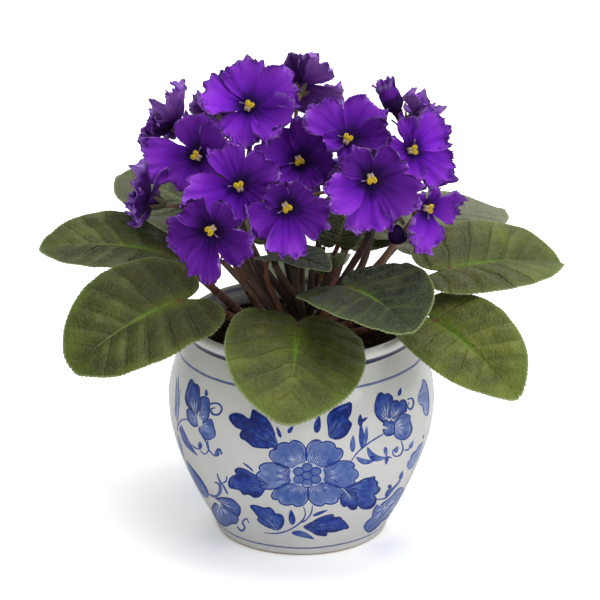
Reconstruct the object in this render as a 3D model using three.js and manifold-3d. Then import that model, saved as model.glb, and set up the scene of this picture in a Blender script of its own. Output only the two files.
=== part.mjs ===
// A potted African violet: a round glazed pot, its soil, and the plant that grows in it.
// Millimetres, +Z up. The origin is the centre of the pot's foot, on the surface it stands on.
// A direction is [azimuth, elevation] in degrees: azimuth 0 is +X, 90 is +Y, and the plant's front is 270.
import * as THREE from "three";
import { mergeVertices } from "three/addons/utils/BufferGeometryUtils.js";
import Module from "manifold-3d";

const wasm = await Module();
wasm.setup();

const clearance = 0.3; // between pieces that touch in the real plant
const roundSides = 32; // flats round the pot and its soil

// Points of the pot's profile as [radius, height], with the handles of the curves that join them.
const pot = {
  recess: [36, 2], // the unglazed hollow inside the foot ring
  footInner: [38, 0],
  footOuter: [43.5, 0],
  footHandles: [[45.2, 0], [45.8, 2]],
  waist: [46.2, 4],
  waistHandles: [[57.5, 26], [69.8, 48]],
  belly: [69.8, 72],
  bellyHandles: [[69.8, 84], [66.5, 96]],
  neck: [59.2, 109.5],
  lipFoot: [59.2, 110.5],
  lipHandles: [[61.6, 111], [62.3, 116.5]],
  rim: [58.8, 116.5],
  rimHandles: [[57, 116.5], [56.4, 114.5]],
  mouth: [56.2, 109.5],
  mouthHandles: [[60.2, 100], [64.6, 86]],
  inside: [64.6, 72],
  insideHandles: [[64.6, 50], [53, 28]],
  heel: [43.5, 11],
  floor: [38.5, 7],
};

const soil = { edge: 105, slope: [40, 105.5], crest: 106, gap: 0.4 };

const crown = { radius: 13, footRadius: 12.5, foot: 92, leaves: 109.5, shoulder: 111, dome: 9.3, sides: 18 };

const leafThickness = 1.6;
// stub: how far a petiole starts straight out of the crown. reach: how far it runs on under the blade.
const petiole = { grown: 2.3, young: 1.4, sides: 6, stub: 2, reach: 4 };

// joint: where the petiole meets the blade. heading: the way the midrib starts out.
// roll tips the blade about its midrib, droop is how far the midrib turns down by the tip,
// fold lifts the margins at the midrib and curl adds to that lift towards the edge.
const grownLeaves = {
  leaf_front_left: {
    joint: [-62, -34, 136], heading: [216, -2], roll: -27, length: 64, width: 0.86,
    droop: 50, fold: 15, curl: -15, root: [209, 0],
  },
  leaf_front: {
    joint: [-2, -52, 130], heading: [269, -2], roll: -9, length: 65, width: 0.94,
    droop: 49, fold: 1, curl: -10, root: [264, 0],
  },
  leaf_front_right: {
    joint: [23, -45, 148], heading: [297, 12], roll: 9, length: 61, width: 0.87,
    droop: 29, fold: 8, curl: 1, root: [289, 8],
  },
  leaf_right_low: {
    joint: [68, -38, 127], heading: [297, 2], roll: 19, length: 70, width: 0.64,
    droop: 36, fold: 18, curl: -18, root: [326, 0],
  },
  leaf_right_high: {
    joint: [76, -4, 143], heading: [15, 9], roll: 12, length: 60, width: 1.01,
    droop: 22, fold: 23, curl: -29, root: [357, 0],
  },
  leaf_far_left: {
    joint: [-72, 15, 145], heading: [181, 17], roll: -8, length: 63, width: 0.9,
    droop: 27, fold: 4, curl: 2, root: [175, 0],
  },
  leaf_back_right: {
    joint: [57, 38, 149], heading: [36.5, 16], roll: 4, length: 60, width: 0.93,
    droop: 29.5, fold: 4.5, curl: -5, root: [30, 0],
  },
  leaf_back_left: {
    joint: [-50, 38, 157], heading: [148, 28.5], roll: -10, length: 55.5, width: 0.95,
    droop: 26, fold: 5, curl: -5, root: [148, 0],
  },
  leaf_rear_right: {
    joint: [27, 54, 142], heading: [66, 14], roll: 5, length: 58, width: 0.9,
    droop: 40, fold: 10, curl: -8, root: [60, 0],
  },
  leaf_rear: {
    joint: [-4, 55, 128], heading: [92, -18], roll: -4, length: 56, width: 0.98,
    droop: 34, fold: 6, curl: -8, root: [90, 0],
  },
  leaf_rear_left: {
    joint: [-30, 52, 143], heading: [117, 14], roll: -6, length: 56, width: 0.9,
    droop: 38, fold: 10, curl: -6, root: [120, 0],
  },
};
const youngLeaves = {
  young_leaf_front: {
    joint: [-13, -28, 159], heading: [328, 11], roll: 0, length: 31, width: 0.85,
    droop: 30, fold: 8, curl: 0, root: [247, 22],
  },
  young_leaf_right: {
    joint: [13.5, -10, 145], heading: [282, 52], roll: 10, length: 17, width: 0.95,
    droop: 20, fold: 16, curl: 0, root: [345, 66],
  },
  young_leaf_upright: {
    joint: [20, 3, 159], heading: [60, 62], roll: 0, length: 27, width: 0.95,
    droop: 16, fold: 14, curl: 0, root: [60, 62],
  },
};

const corolla = { thickness: 1.4, tube: 2.8, tubeLength: 4.5 };
const lobeSizes = [0.84, 1, 1.06, 1, 0.84]; // counter-clockwise from the upper left, seen from the front
const lobeOutline = [0.62, 0.93, 1, 0.93]; // how far a lobe reaches at its notch, shoulder, tip and shoulder
const closedSpread = 0.2; // the least that a half-open flower spreads
const calyx = { frontRadius: 3.4, backRadius: 1.5, length: 4.8, overlap: 1.2 };

// at: the middle of the flower's face. roll turns the face clockwise as it is seen from the front.
// cup is how far the lobes lean forward, as a share of the radius.
const flowers = {
  "01": { at: [-26, -8, 232], facing: [265, 40], roll: 20, radius: 23, cup: 0.2 },
  "02": { at: [-53, -18, 209], facing: [250, 20], roll: 0, radius: 21, cup: 0.2 },
  "03": { at: [-65, 12, 217], facing: [135, 22], roll: 0, radius: 20, cup: 0.25 },
  "04": { at: [-46, 35, 217], facing: [100, 35], roll: 0, radius: 15, cup: 0.2 },
  "05": { at: [-31, -45, 202], facing: [263, 20], roll: 0, radius: 22, cup: 0.15 },
  "06": { at: [-1, -20, 206], facing: [270, 25], roll: 0, radius: 21, cup: 0.2 },
  "07": { at: [-7, -56, 194], facing: [270, 5], roll: 0, radius: 23, cup: 0.1 },
  "08": { at: [-45, -62, 184], facing: [258, 12], roll: 0, radius: 25, cup: 0.1 },
  "09": { at: [-77, -26, 188], facing: [165, 12], roll: 0, radius: 20, cup: 0.3 },
  "10": { at: [23, -32, 222], facing: [275, 35], roll: 0, radius: 22, cup: 0.2 },
  "11": { at: [34, -59, 209], facing: [280, 15], roll: 0, radius: 27, cup: 0.1 },
  "12": { at: [56, -12, 210], facing: [300, 20], roll: 0, radius: 22, cup: 0.15 },
  "13": { at: [63, -34, 186.5], facing: [310, 5], roll: 0, radius: 18, cup: 0.15 },
  "14": { at: [0.5, 20, 234.5], facing: [80, 14], roll: 0, radius: 18, cup: 0.2 },
  "15": { at: [49, 5, 225], facing: [180, 65], roll: 0, radius: 13.5, cup: 1 },
  "16": { at: [61, 18, 219], facing: [45, 40], roll: 0, radius: 15, cup: 0.25 },
  "17": { at: [0, 45, 181], facing: [90, 25], roll: 0, radius: 22, cup: 0.15 },
  "18": { at: [38, 42, 180], facing: [55, 12], roll: 0, radius: 21, cup: 0.15 },
  "19": { at: [-42, 38, 184], facing: [128, 14], roll: 0, radius: 22, cup: 0.15 },
};
// These stand open with their anthers in sight. The others are half open, or fading and have dropped them.
const withAnthers = "01 02 03 05 06 07 08 09 10 11 12 13 17 18 19".split(" ");
const anther = { length: 2.3, width: 1.6, spread: 1.5, ahead: 2.1 };

const budProfile = [[0.6, 0.85], [1, 0.5], [0.8, 0.15], [0.4, 0]]; // shares of its radius and length
const buds = {
  bud_right: { at: [48, -34, 178], facing: [280, -75], radius: 4.4, length: 10 },
  bud_left: { at: [-58, -2, 193], facing: [190, 35], radius: 3, length: 7 },
};

// root: where the stalk leaves the crown. via and fork: the points it passes on its way up to the fork,
// where it divides into one branch for each flower and bud.
const stalk = { radius: 2.1, sides: 6, stub: 5, knot: 2.4, branch: 1.2, branchSides: 5 };
const stalks = {
  stalk_far_left: {
    root: [190, 35], via: [[-30, -4, 150]], fork: [-50, 0, 178], flowers: ["02", "03", "09"], buds: ["bud_left"],
  },
  stalk_left: {
    root: [225, 35], via: [[-24, -12, 148]], fork: [-31, -20, 176], flowers: ["01", "04", "05", "08"], buds: [],
  },
  stalk_middle: {
    root: [220, 72], via: [[-3, 0, 148]], fork: [-3, -21, 170], flowers: ["06", "07"], buds: [],
  },
  stalk_front_right: {
    root: [305, 35], via: [[20, -18, 141], [34, -20, 167]], fork: [36, -22, 182], flowers: ["10", "11"], buds: [],
  },
  stalk_right: {
    root: [337, 35], via: [[31, -6, 146]], fork: [42, 3, 184], flowers: ["15"], buds: ["bud_right"],
  },
  stalk_far_right: {
    root: [10, 35], via: [[38, 4, 141]], fork: [59, 1, 170], flowers: ["12", "13", "16"], buds: [],
  },
  stalk_rear: {
    root: [92, 35], via: [[0, 18, 146]], fork: [-2, 28, 166], flowers: ["14", "17", "18", "19"], buds: [],
  },
};

const radians = THREE.MathUtils.degToRad;
const vector = (list) => new THREE.Vector3(...list);

// The unit vector of an [azimuth, elevation] pair.
function direction([azimuth, elevation]) {
  const flat = Math.cos(radians(elevation));
  return new THREE.Vector3(
    flat * Math.cos(radians(azimuth)), flat * Math.sin(radians(azimuth)), Math.sin(radians(elevation)),
  );
}

// A closed surface through rings of equal count, with one point at each end.
// Each ring runs counter-clockwise as the first end sees it.
function loft(firstEnd, rings, lastEnd) {
  const count = rings[0].length;
  const points = [firstEnd, ...rings.flat(), lastEnd];
  const last = points.length - 1;
  const index = [];
  for (let i = 0; i < count; i++) {
    const next = (i + 1) % count;
    index.push(0, 1 + i, 1 + next);
    for (let ring = 0; ring < rings.length - 1; ring++) {
      const a = 1 + ring * count;
      const b = a + count;
      index.push(a + i, b + i, b + next, a + i, b + next, a + next);
    }
    const edge = 1 + (rings.length - 1) * count;
    index.push(edge + i, last, edge + next);
  }
  const geometry = new THREE.BufferGeometry().setFromPoints(points);
  geometry.setIndex(index);
  return geometry;
}

// A rod of even thickness along a smooth curve through the points.
function rod(points, radius, sides, steps) {
  const section = new THREE.Shape();
  for (let i = 0; i < sides; i++) {
    const turn = (2 * Math.PI * i) / sides;
    const corner = [radius * Math.cos(turn), radius * Math.sin(turn)];
    i === 0 ? section.moveTo(...corner) : section.lineTo(...corner);
  }
  const extrudePath = new THREE.CatmullRomCurve3(points, false, "centripetal");
  return new THREE.ExtrudeGeometry(section, { steps, extrudePath, curveSegments: 1, bevelEnabled: false });
}

function solid(geometry) {
  const bare = geometry.clone();
  bare.deleteAttribute("normal");
  bare.deleteAttribute("uv");
  const merged = mergeVertices(bare, 1e-3);
  const triVerts = new Uint32Array(merged.index.array);
  const vertProperties = merged.attributes.position.array;
  return new wasm.Manifold(new wasm.Mesh({ numProp: 3, vertProperties, triVerts }));
}

// Several overlapping closed geometries joined into one.
function join(geometries) {
  const made = geometries.map(solid).reduce((whole, piece) => whole.add(piece)).getMesh();
  const geometry = new THREE.BufferGeometry();
  geometry.setAttribute("position", new THREE.BufferAttribute(made.vertProperties, 3));
  geometry.setIndex(new THREE.BufferAttribute(made.triVerts, 1));
  return geometry;
}

// A profile in radius and height, turned round Z.
function turned(profile, sides) {
  const geometry = new THREE.LatheGeometry(profile.map(([r, z]) => new THREE.Vector2(r, z)), sides);
  return geometry.rotateX(Math.PI / 2);
}

// Points of a cubic curve between two profile points, without its first one.
function bow(from, control1, control2, to, steps) {
  const flat = [from, control1, control2, to].map(([r, z]) => new THREE.Vector2(r, z));
  return new THREE.CubicBezierCurve(...flat).getPoints(steps).slice(1).map((p) => [p.x, p.y]);
}

// The inside of the pot from its mouth down to its floor, moved inwards by a gap.
function potInside(gap) {
  const inset = ([radius, height]) => [radius - gap, height];
  const [mouth, widest, heel] = [pot.mouth, pot.inside, pot.heel].map(inset);
  const floor = pot.floor[1] + gap;
  return [
    mouth,
    ...bow(mouth, ...pot.mouthHandles.map(inset), widest, 3),
    ...bow(widest, ...pot.insideHandles.map(inset), heel, 4),
    [pot.floor[0] - gap, floor],
    [0, floor],
  ];
}

function potGeometry() {
  const inside = potInside(0);
  const profile = [
    [0, pot.recess[1]],
    pot.recess,
    pot.footInner,
    pot.footOuter,
    ...bow(pot.footOuter, ...pot.footHandles, pot.waist, 2),
    ...bow(pot.waist, ...pot.waistHandles, pot.belly, 5),
    ...bow(pot.belly, ...pot.bellyHandles, pot.neck, 4),
    pot.lipFoot,
    ...bow(pot.lipFoot, ...pot.lipHandles, pot.rim, 3),
    ...bow(pot.rim, ...pot.rimHandles, pot.mouth, 2),
    ...inside.slice(1),
  ];
  return turned(profile, roundSides);
}

// The soil fills the pot to just under its neck, with a pocket for the foot of the crown.
function soilGeometry() {
  const wall = potInside(soil.gap);
  const below = wall.findIndex(([, height]) => height < soil.edge);
  const [over, under] = [wall[below - 1], wall[below]];
  const share = (soil.edge - under[1]) / (over[1] - under[1]);
  const edgeRadius = under[0] + share * (over[0] - under[0]);
  const pocket = crown.radius + clearance;
  const pocketFloor = crown.foot - clearance;
  const profile = [
    ...wall.slice(below).reverse(),
    [edgeRadius, soil.edge],
    soil.slope,
    [pocket, soil.crest],
    [pocket, pocketFloor],
    [0, pocketFloor],
  ];
  return turned(profile, roundSides);
}

// The crown is a stub with a domed top.
function crownGeometry() {
  const profile = [[0, crown.foot], [crown.footRadius, crown.foot]];
  const steps = 5;
  for (let i = 0; i <= steps; i++) {
    const turn = (Math.PI / 2) * (i / steps);
    const radius = i === steps ? 0 : crown.radius * Math.cos(turn);
    profile.push([radius, crown.shoulder + crown.dome * Math.sin(turn)]);
  }
  return turned(profile, crown.sides);
}

// Where a stem leaves the crown and the way it starts. lift 0 is the crown's side, 90 its top.
function crownRoot([azimuth, lift]) {
  const turn = radians(lift);
  const out = direction([azimuth, 0]);
  const normal = out.clone().multiplyScalar(Math.cos(turn) / crown.radius);
  normal.z = Math.sin(turn) / crown.dome;
  normal.normalize();
  const at = out.clone().multiplyScalar(crown.radius * Math.cos(turn));
  at.z = lift > 0 ? crown.shoulder + crown.dome * Math.sin(turn) : crown.leaves;
  return { at: at.addScaledVector(normal, clearance), normal };
}

// The blade's outline as a share of its length: an oval with a short tip and a notch at the petiole.
function leafOutline(angle) {
  const oval = 0.57 + 0.34 * Math.cos(angle) + 0.04 * Math.cos(2 * angle) + 0.05 * Math.cos(3 * angle);
  const fromNotch = (Math.PI - Math.abs(angle)) / radians(13);
  const tip = 0.05 * Math.exp(-((angle / radians(11)) ** 2));
  return oval * (1 - 0.88 * Math.exp(-(fromNotch ** 2))) + tip;
}

// Three axes of a leaf: along the midrib, to its left, and up from its face.
function leafAxes(leaf) {
  const along = direction(leaf.heading);
  const level = direction([leaf.heading[0] + 90, 0]);
  const rise = along.clone().cross(level);
  const turn = radians(leaf.roll);
  const left = level.multiplyScalar(Math.cos(turn)).addScaledVector(rise, Math.sin(turn));
  return { along, left, up: along.clone().cross(left) };
}

// A point of the blade: the midrib bends down evenly, and the sides lift off it.
function bladePoint(leaf, axes, angle, share, side) {
  const reach = leaf.length * leafOutline(angle) * share;
  const run = reach * Math.cos(angle);
  const across = leaf.width * reach * Math.sin(angle);
  const bend = radians(leaf.droop) / leaf.length;
  const turn = bend * Math.max(run, 0);
  const halfWidth = 0.58 * leaf.length * leaf.width;
  const lean = radians(leaf.fold) + (radians(leaf.curl) * Math.abs(across)) / halfWidth / 2;
  const lift = Math.abs(across) * Math.sin(lean) + (side * leafThickness) / 2;
  const forward = run > 0 ? Math.sin(turn) / bend : run;
  const drop = (Math.cos(turn) - 1) / bend;
  return vector(leaf.joint)
    .addScaledVector(axes.along, forward + lift * Math.sin(turn))
    .addScaledVector(axes.up, drop + lift * Math.cos(turn))
    .addScaledVector(axes.left, across * Math.cos(lean));
}

function bladeGeometry(leaf) {
  const axes = leafAxes(leaf);
  const half = [18, 40, 64, 88, 112, 136, 154, 168];
  const angles = [0, ...half, 180, ...half.map((degrees) => -degrees).reverse()].map(radians);
  const ring = (share, side) => angles.map((angle) => bladePoint(leaf, axes, angle, share, side));
  const rings = [ring(0.55, 1), ring(1, 1), ring(1, -1), ring(0.55, -1)];
  return loft(bladePoint(leaf, axes, 0, 0, 1), rings, bladePoint(leaf, axes, 0, 0, -1));
}

// A leaf is its blade and its petiole, whose top lies just inside the blade.
function leafGeometry(leaf, radius) {
  const start = crownRoot(leaf.root);
  const { along, up } = leafAxes(leaf);
  const joint = vector(leaf.joint).addScaledVector(up, leafThickness / 4 - radius * 0.6);
  const span = joint.distanceTo(start.at);
  const curve = new THREE.CubicBezierCurve3(
    start.at,
    start.at.clone().addScaledVector(start.normal, span * 0.3),
    joint.clone().addScaledVector(along, -span * 0.35),
    joint,
  );
  const stub = start.at.clone().addScaledVector(start.normal, petiole.stub);
  const bend = curve.getPoints(6).slice(1);
  const points = [start.at, stub, ...bend, joint.clone().addScaledVector(along, petiole.reach)];
  return join([bladeGeometry(leaf), rod(points, radius, petiole.sides, 7)]);
}

// Three axes of a flower: out of its face, up across it, and to the left as it is seen from the front.
function flowerAxes({ facing, roll = 0 }) {
  const ahead = direction(facing);
  const up = direction([facing[0], facing[1] + 90]).applyAxisAngle(ahead, -radians(roll));
  return { ahead, up, left: ahead.clone().cross(up) };
}

function flowerPoint(flower, axes, angle, radius, ahead) {
  return vector(flower.at)
    .addScaledVector(axes.up, radius * Math.cos(angle))
    .addScaledVector(axes.left, radius * Math.sin(angle))
    .addScaledVector(axes.ahead, ahead);
}

// The edge of the face: five rounded lobes, with a notch between each two.
function corollaEdge(step) {
  const place = step % lobeOutline.length;
  const lobe = Math.floor(step / lobeOutline.length);
  const before = lobeSizes.at(lobe - 1);
  const size = place === 0 ? (lobeSizes[lobe] + before) / 2 : lobeSizes[lobe];
  return size * lobeOutline[place];
}

// The face is a shallow bowl of petal, and a short tube stands behind its middle.
function corollaGeometry(flower) {
  const axes = flowerAxes(flower);
  const count = lobeOutline.length * lobeSizes.length;
  const steps = [...Array(count).keys()];
  const turn = (2 * Math.PI) / count;
  const ring = (share, depth) =>
    steps.map((step) => {
      const reach = flower.radius * corollaEdge(step) * share;
      const lean = flower.radius * flower.cup * share ** 2;
      const spread = reach * Math.sqrt(Math.max(1 - flower.cup ** 2, closedSpread));
      return flowerPoint(flower, axes, turn * step, spread, lean - depth);
    });
  const round = (radius, ahead) => steps.map((step) => flowerPoint(flower, axes, turn * step, radius, ahead));
  const rings = [
    ring(0.5, 0),
    ring(1, 0),
    ring(1, corolla.thickness),
    ring(0.5, corolla.thickness),
    round(corolla.tube, -corolla.thickness),
    round(corolla.tube, -corolla.tubeLength),
  ];
  const tubeEnd = flowerPoint(flower, axes, 0, 0, -corolla.tubeLength);
  return loft(flowerPoint(flower, axes, 0, 0, 0), rings, tubeEnd);
}

// Two plump anthers side by side, joined where they meet, just in front of the face.
function antherGeometry(flower) {
  const axes = flowerAxes(flower);
  const turn = new THREE.Matrix4().makeBasis(axes.up, axes.left, axes.ahead);
  const lobes = [-1, 1].map((side) =>
    new THREE.SphereGeometry(1, 6, 4)
      .scale(anther.length, anther.width, anther.width)
      .applyMatrix4(turn)
      .translate(...flowerPoint(flower, axes, (side * Math.PI) / 2, anther.spread, anther.ahead)),
  );
  return join(lobes);
}

// A cone that widens from the branch to the flower.
function calyxGeometry(flower, front) {
  const axes = flowerAxes(flower);
  const steps = [...Array(stalk.sides).keys()];
  const ring = (radius, ahead) =>
    steps.map((step) => flowerPoint(flower, axes, (2 * Math.PI * step) / stalk.sides, radius, ahead));
  const far = front - calyx.length;
  return loft(
    flowerPoint(flower, axes, 0, 0, front),
    [ring(calyx.frontRadius, front), ring(calyx.backRadius, far)],
    flowerPoint(flower, axes, 0, 0, far),
  );
}

// A branch leaves the fork upwards and comes in along the flower's own axis.
function branchGeometry(fork, flower, front) {
  const { ahead } = flowerAxes(flower);
  const end = vector(flower.at).addScaledVector(ahead, front - calyx.length + calyx.overlap);
  const span = end.distanceTo(fork);
  const curve = new THREE.CubicBezierCurve3(
    fork,
    fork.clone().add(new THREE.Vector3(0, 0, span * 0.3)),
    end.clone().addScaledVector(ahead, -span * 0.4),
    end,
  );
  return rod(curve.getPoints(4), stalk.branch, stalk.branchSides, 4);
}

function stalkGeometry({ root, via, fork, flowers: names, buds: budNames }) {
  const start = crownRoot(root);
  const first = start.at.clone().addScaledVector(start.normal, stalk.stub);
  const top = vector(fork);
  const before = vector(via.at(-1)).lerp(top, 0.5);
  const pieces = [rod([start.at, first, ...via.map(vector), before, top], stalk.radius, stalk.sides, 8)];
  pieces.push(new THREE.IcosahedronGeometry(stalk.knot, 0).translate(...fork));
  const flowerFront = -corolla.tubeLength - clearance;
  const heads = names.map((name) => [flowers[name], flowerFront]);
  heads.push(...budNames.map((name) => [buds[name], -clearance]));
  for (const [head, front] of heads) {
    pieces.push(calyxGeometry(head, front), branchGeometry(top, head, front));
  }
  return join(pieces);
}

// A closed bud: a drop shape, widest near its foot.
function budGeometry(bud) {
  const axes = flowerAxes(bud);
  const sides = 8;
  const steps = [...Array(sides).keys()];
  const rings = budProfile.map(([width, height]) =>
    steps.map((step) =>
      flowerPoint(bud, axes, (2 * Math.PI * step) / sides, bud.radius * width, bud.length * height),
    ),
  );
  return loft(flowerPoint(bud, axes, 0, 0, bud.length), rings, flowerPoint(bud, axes, 0, 0, 0));
}

const finishes = {
  glaze: { color: 0xdfe0e2, roughness: 0.12 },
  earth: { color: 0x241a14, roughness: 0.95 },
  stem: { color: 0x4a2526, roughness: 0.6 },
  foliage: { color: 0x4c5c2e, roughness: 0.7 },
  petal: { color: 0x5a1fb0, roughness: 0.55 },
  pollen: { color: 0xe6c32a, roughness: 0.5 },
};

const violet = new THREE.Group();

function addPiece(name, geometry, finish) {
  const material = new THREE.MeshStandardMaterial({ ...finishes[finish], metalness: 0 });
  const mesh = new THREE.Mesh(geometry, material);
  mesh.name = name;
  violet.add(mesh);
}

addPiece("pot", potGeometry(), "glaze");
addPiece("potting_soil", soilGeometry(), "earth");
addPiece("crown_stem", crownGeometry(), "stem");
for (const [name, leaf] of Object.entries(grownLeaves)) {
  addPiece(name, leafGeometry(leaf, petiole.grown), "foliage");
}
for (const [name, leaf] of Object.entries(youngLeaves)) {
  addPiece(name, leafGeometry(leaf, petiole.young), "foliage");
}
for (const [name, plan] of Object.entries(stalks)) {
  addPiece(name, stalkGeometry(plan), "stem");
}
for (const [number, flower] of Object.entries(flowers)) {
  addPiece("corolla_" + number, corollaGeometry(flower), "petal");
  if (withAnthers.includes(number)) {
    addPiece("anthers_" + number, antherGeometry(flower), "pollen");
  }
}
for (const [name, bud] of Object.entries(buds)) {
  addPiece(name, budGeometry(bud), "petal");
}

export default violet;
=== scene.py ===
import bpy
import numpy as np
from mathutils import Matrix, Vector


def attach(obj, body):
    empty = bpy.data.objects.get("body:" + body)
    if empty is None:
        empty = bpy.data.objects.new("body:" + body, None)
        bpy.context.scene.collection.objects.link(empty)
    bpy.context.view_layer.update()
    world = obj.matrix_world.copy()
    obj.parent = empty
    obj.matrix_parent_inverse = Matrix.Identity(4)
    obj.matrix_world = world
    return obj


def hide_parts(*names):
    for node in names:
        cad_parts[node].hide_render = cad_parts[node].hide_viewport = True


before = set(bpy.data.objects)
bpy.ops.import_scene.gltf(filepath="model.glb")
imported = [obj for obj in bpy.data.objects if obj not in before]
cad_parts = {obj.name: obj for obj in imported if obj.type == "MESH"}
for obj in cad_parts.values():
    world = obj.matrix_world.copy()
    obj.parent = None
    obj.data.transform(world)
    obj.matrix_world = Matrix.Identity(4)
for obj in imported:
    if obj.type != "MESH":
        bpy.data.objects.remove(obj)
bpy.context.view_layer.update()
print("frame loaded:", len(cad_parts), "nodes")

# Lengths are in millimetres and angles in degrees, in the model's own frame. Meshes are written in metres.
milli = 0.001


def unit(vectors):
    return vectors / np.maximum(np.linalg.norm(vectors, axis=-1, keepdims=True), 1e-9)


def heading(azimuth, lift):  # the unit vector that points that way
    turn, rise = np.radians(azimuth), np.radians(lift)
    return np.array([np.cos(turn) * np.cos(rise), np.sin(turn) * np.cos(rise), np.sin(rise)])


def soft(low, high, value):  # 0 below low, 1 above high, with an eased step between them
    share = np.clip((value - low) / (high - low), 0, 1)
    return share * share * (3 - 2 * share)


def wander(seed, reach, *coordinates):  # six sines of seeded direction and phase added up, about -1 to 1
    dice = np.random.default_rng(seed)
    turns, starts = dice.normal(0, reach, (6, len(coordinates))), dice.uniform(0, 2 * np.pi, 6)
    waves = [np.sin(sum(c * t for c, t in zip(coordinates, turn)) + start) for turn, start in zip(turns, starts)]
    return sum(waves) / 2.5


def bezier(start, bendOut, bendIn, end, count):  # a cubic curve with two handles
    t = np.linspace(0, 1, count)[:, None]
    start, bendOut, bendIn, end = (np.asarray(p, float) for p in (start, bendOut, bendIn, end))
    return (1 - t) ** 3 * start + 3 * (1 - t) ** 2 * t * bendOut + 3 * (1 - t) * t ** 2 * bendIn + t ** 3 * end


def smoothCurve(points, count):
    # cubic pieces through the points, each point's slope taken from its neighbours, then evenly spaced by length
    points = np.asarray(points, float)
    knots = np.concatenate([[0], np.cumsum(np.sqrt(np.linalg.norm(np.diff(points, axis=0), axis=1)))])
    slopes = np.gradient(points, knots, axis=0)
    places = np.linspace(0, knots[-1], 12 * len(points))
    left = np.clip(np.searchsorted(knots, places, side="right") - 1, 0, len(points) - 2)
    gap = (knots[left + 1] - knots[left])[:, None]
    t = (places[:, None] - knots[left][:, None]) / gap
    curve = ((2 * t ** 3 - 3 * t ** 2 + 1) * points[left] + (t ** 3 - 2 * t ** 2 + t) * gap * slopes[left]
             + (3 * t ** 2 - 2 * t ** 3) * points[left + 1] + (t ** 3 - t ** 2) * gap * slopes[left + 1])
    length = np.concatenate([[0], np.cumsum(np.linalg.norm(np.diff(curve, axis=0), axis=1))])
    even = np.linspace(0, length[-1], count)
    return np.stack([np.interp(even, length, curve[:, k]) for k in range(points.shape[1])], axis=1)


# A grid has rows, columns and, for each point, x, y, z and then one number for each channel.


def withChannels(points, *channels):
    shape = points.shape[:-1]
    return np.concatenate([points, *[np.broadcast_to(c, shape)[..., None] for c in channels]], axis=-1)


def loft(grid):  # closed rings, one per row, with a point in the middle of the first and the last
    rows, columns, depth = grid.shape
    points = np.concatenate([grid[0].mean(0)[None], grid.reshape(-1, depth), grid[-1].mean(0)[None]])
    ring = np.arange(columns)
    after = np.roll(ring, -1)
    start = 1 + columns * np.arange(rows - 1)[:, None]
    quads = np.stack([start + ring, start + columns + ring, start + columns + after, start + after], -1)
    last = len(points) - 1
    edge = last - columns
    fans = [np.stack([0 * ring, 1 + ring, 1 + after], -1), np.stack([edge + ring, 0 * ring + last, edge + after], -1)]
    return points, [quads.reshape(-1, 4), *fans]


def slab(front, back):  # two grids of one size, joined all round their edges
    rows, columns, depth = front.shape
    index = np.arange(rows * columns).reshape(rows, columns)
    quads = np.stack([index[:-1, :-1], index[1:, :-1], index[1:, 1:], index[:-1, 1:]], -1).reshape(-1, 4)
    rim = np.concatenate([index[:, 0], index[-1, 1:], index[-2::-1, -1], index[0, -2:0:-1]])
    behind = rows * columns
    wall = np.stack([rim, rim + behind, np.roll(rim, -1) + behind, np.roll(rim, -1)], -1)
    points = np.concatenate([front.reshape(-1, depth), back.reshape(-1, depth)])
    return points, [quads, quads[:, ::-1] + behind, wall]


def gather(parts):  # several pairs of points and faces as one
    starts = np.cumsum([0] + [len(points) for points, faces in parts])
    faces = [block + start for (points, blocks), start in zip(parts, starts) for block in blocks]
    return np.concatenate([points for points, blocks in parts]), faces


def surfaceNormals(grid, wrap):  # across the rows and the columns of a grid, outwards
    places = grid[..., :3]
    down = np.gradient(places, axis=0)
    across = (np.roll(places, -1, 1) - np.roll(places, 1, 1)) if wrap else np.gradient(places, axis=1)
    return unit(np.cross(down, across))


def tubeGrid(path, radii, sides):
    # a circle carried along the path, square to it, with its axes kept to the plane that the path lies nearest
    flat = np.linalg.svd(path - path.mean(0))[2][-1]
    tangent = unit(np.gradient(path, axis=0))
    side = unit(np.cross(tangent, flat))
    other = np.cross(tangent, side)
    turn = np.linspace(0, 2 * np.pi, sides, endpoint=False)[None, :, None]
    ring = np.cos(turn) * side[:, None] - np.sin(turn) * other[:, None]
    return path[:, None] + np.broadcast_to(radii, len(path))[:, None, None] * ring


def hairs(roots, ways, length, radius, seed, channels=0):
    # thin three-sided spikes: a small triangle round each root, and a tip out along its way, a little bent
    dice = np.random.default_rng(seed)
    count = len(roots)
    ways = unit(ways + dice.normal(0, 0.35, (count, 3)))
    side = unit(np.cross(ways, unit(dice.normal(0, 1, (count, 3)))))
    other = np.cross(ways, side)
    turn = np.radians([0, 120, 240])[None, :, None]
    ring = np.cos(turn) * side[:, None] + np.sin(turn) * other[:, None]
    base = roots[:, None] - 0.1 * ways[:, None] + radius * ring
    tips = roots + ways * length * dice.uniform(0.6, 1.2, (count, 1))
    points = np.concatenate([base, tips[:, None]], axis=1).reshape(-1, 3)
    start = 4 * np.arange(count)[:, None]
    faces = np.concatenate([start + corners for corners in ([0, 1, 3], [1, 2, 3], [2, 0, 3], [0, 2, 1])])
    return np.concatenate([points, np.zeros((len(points), channels))], axis=1), [faces]


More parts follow.
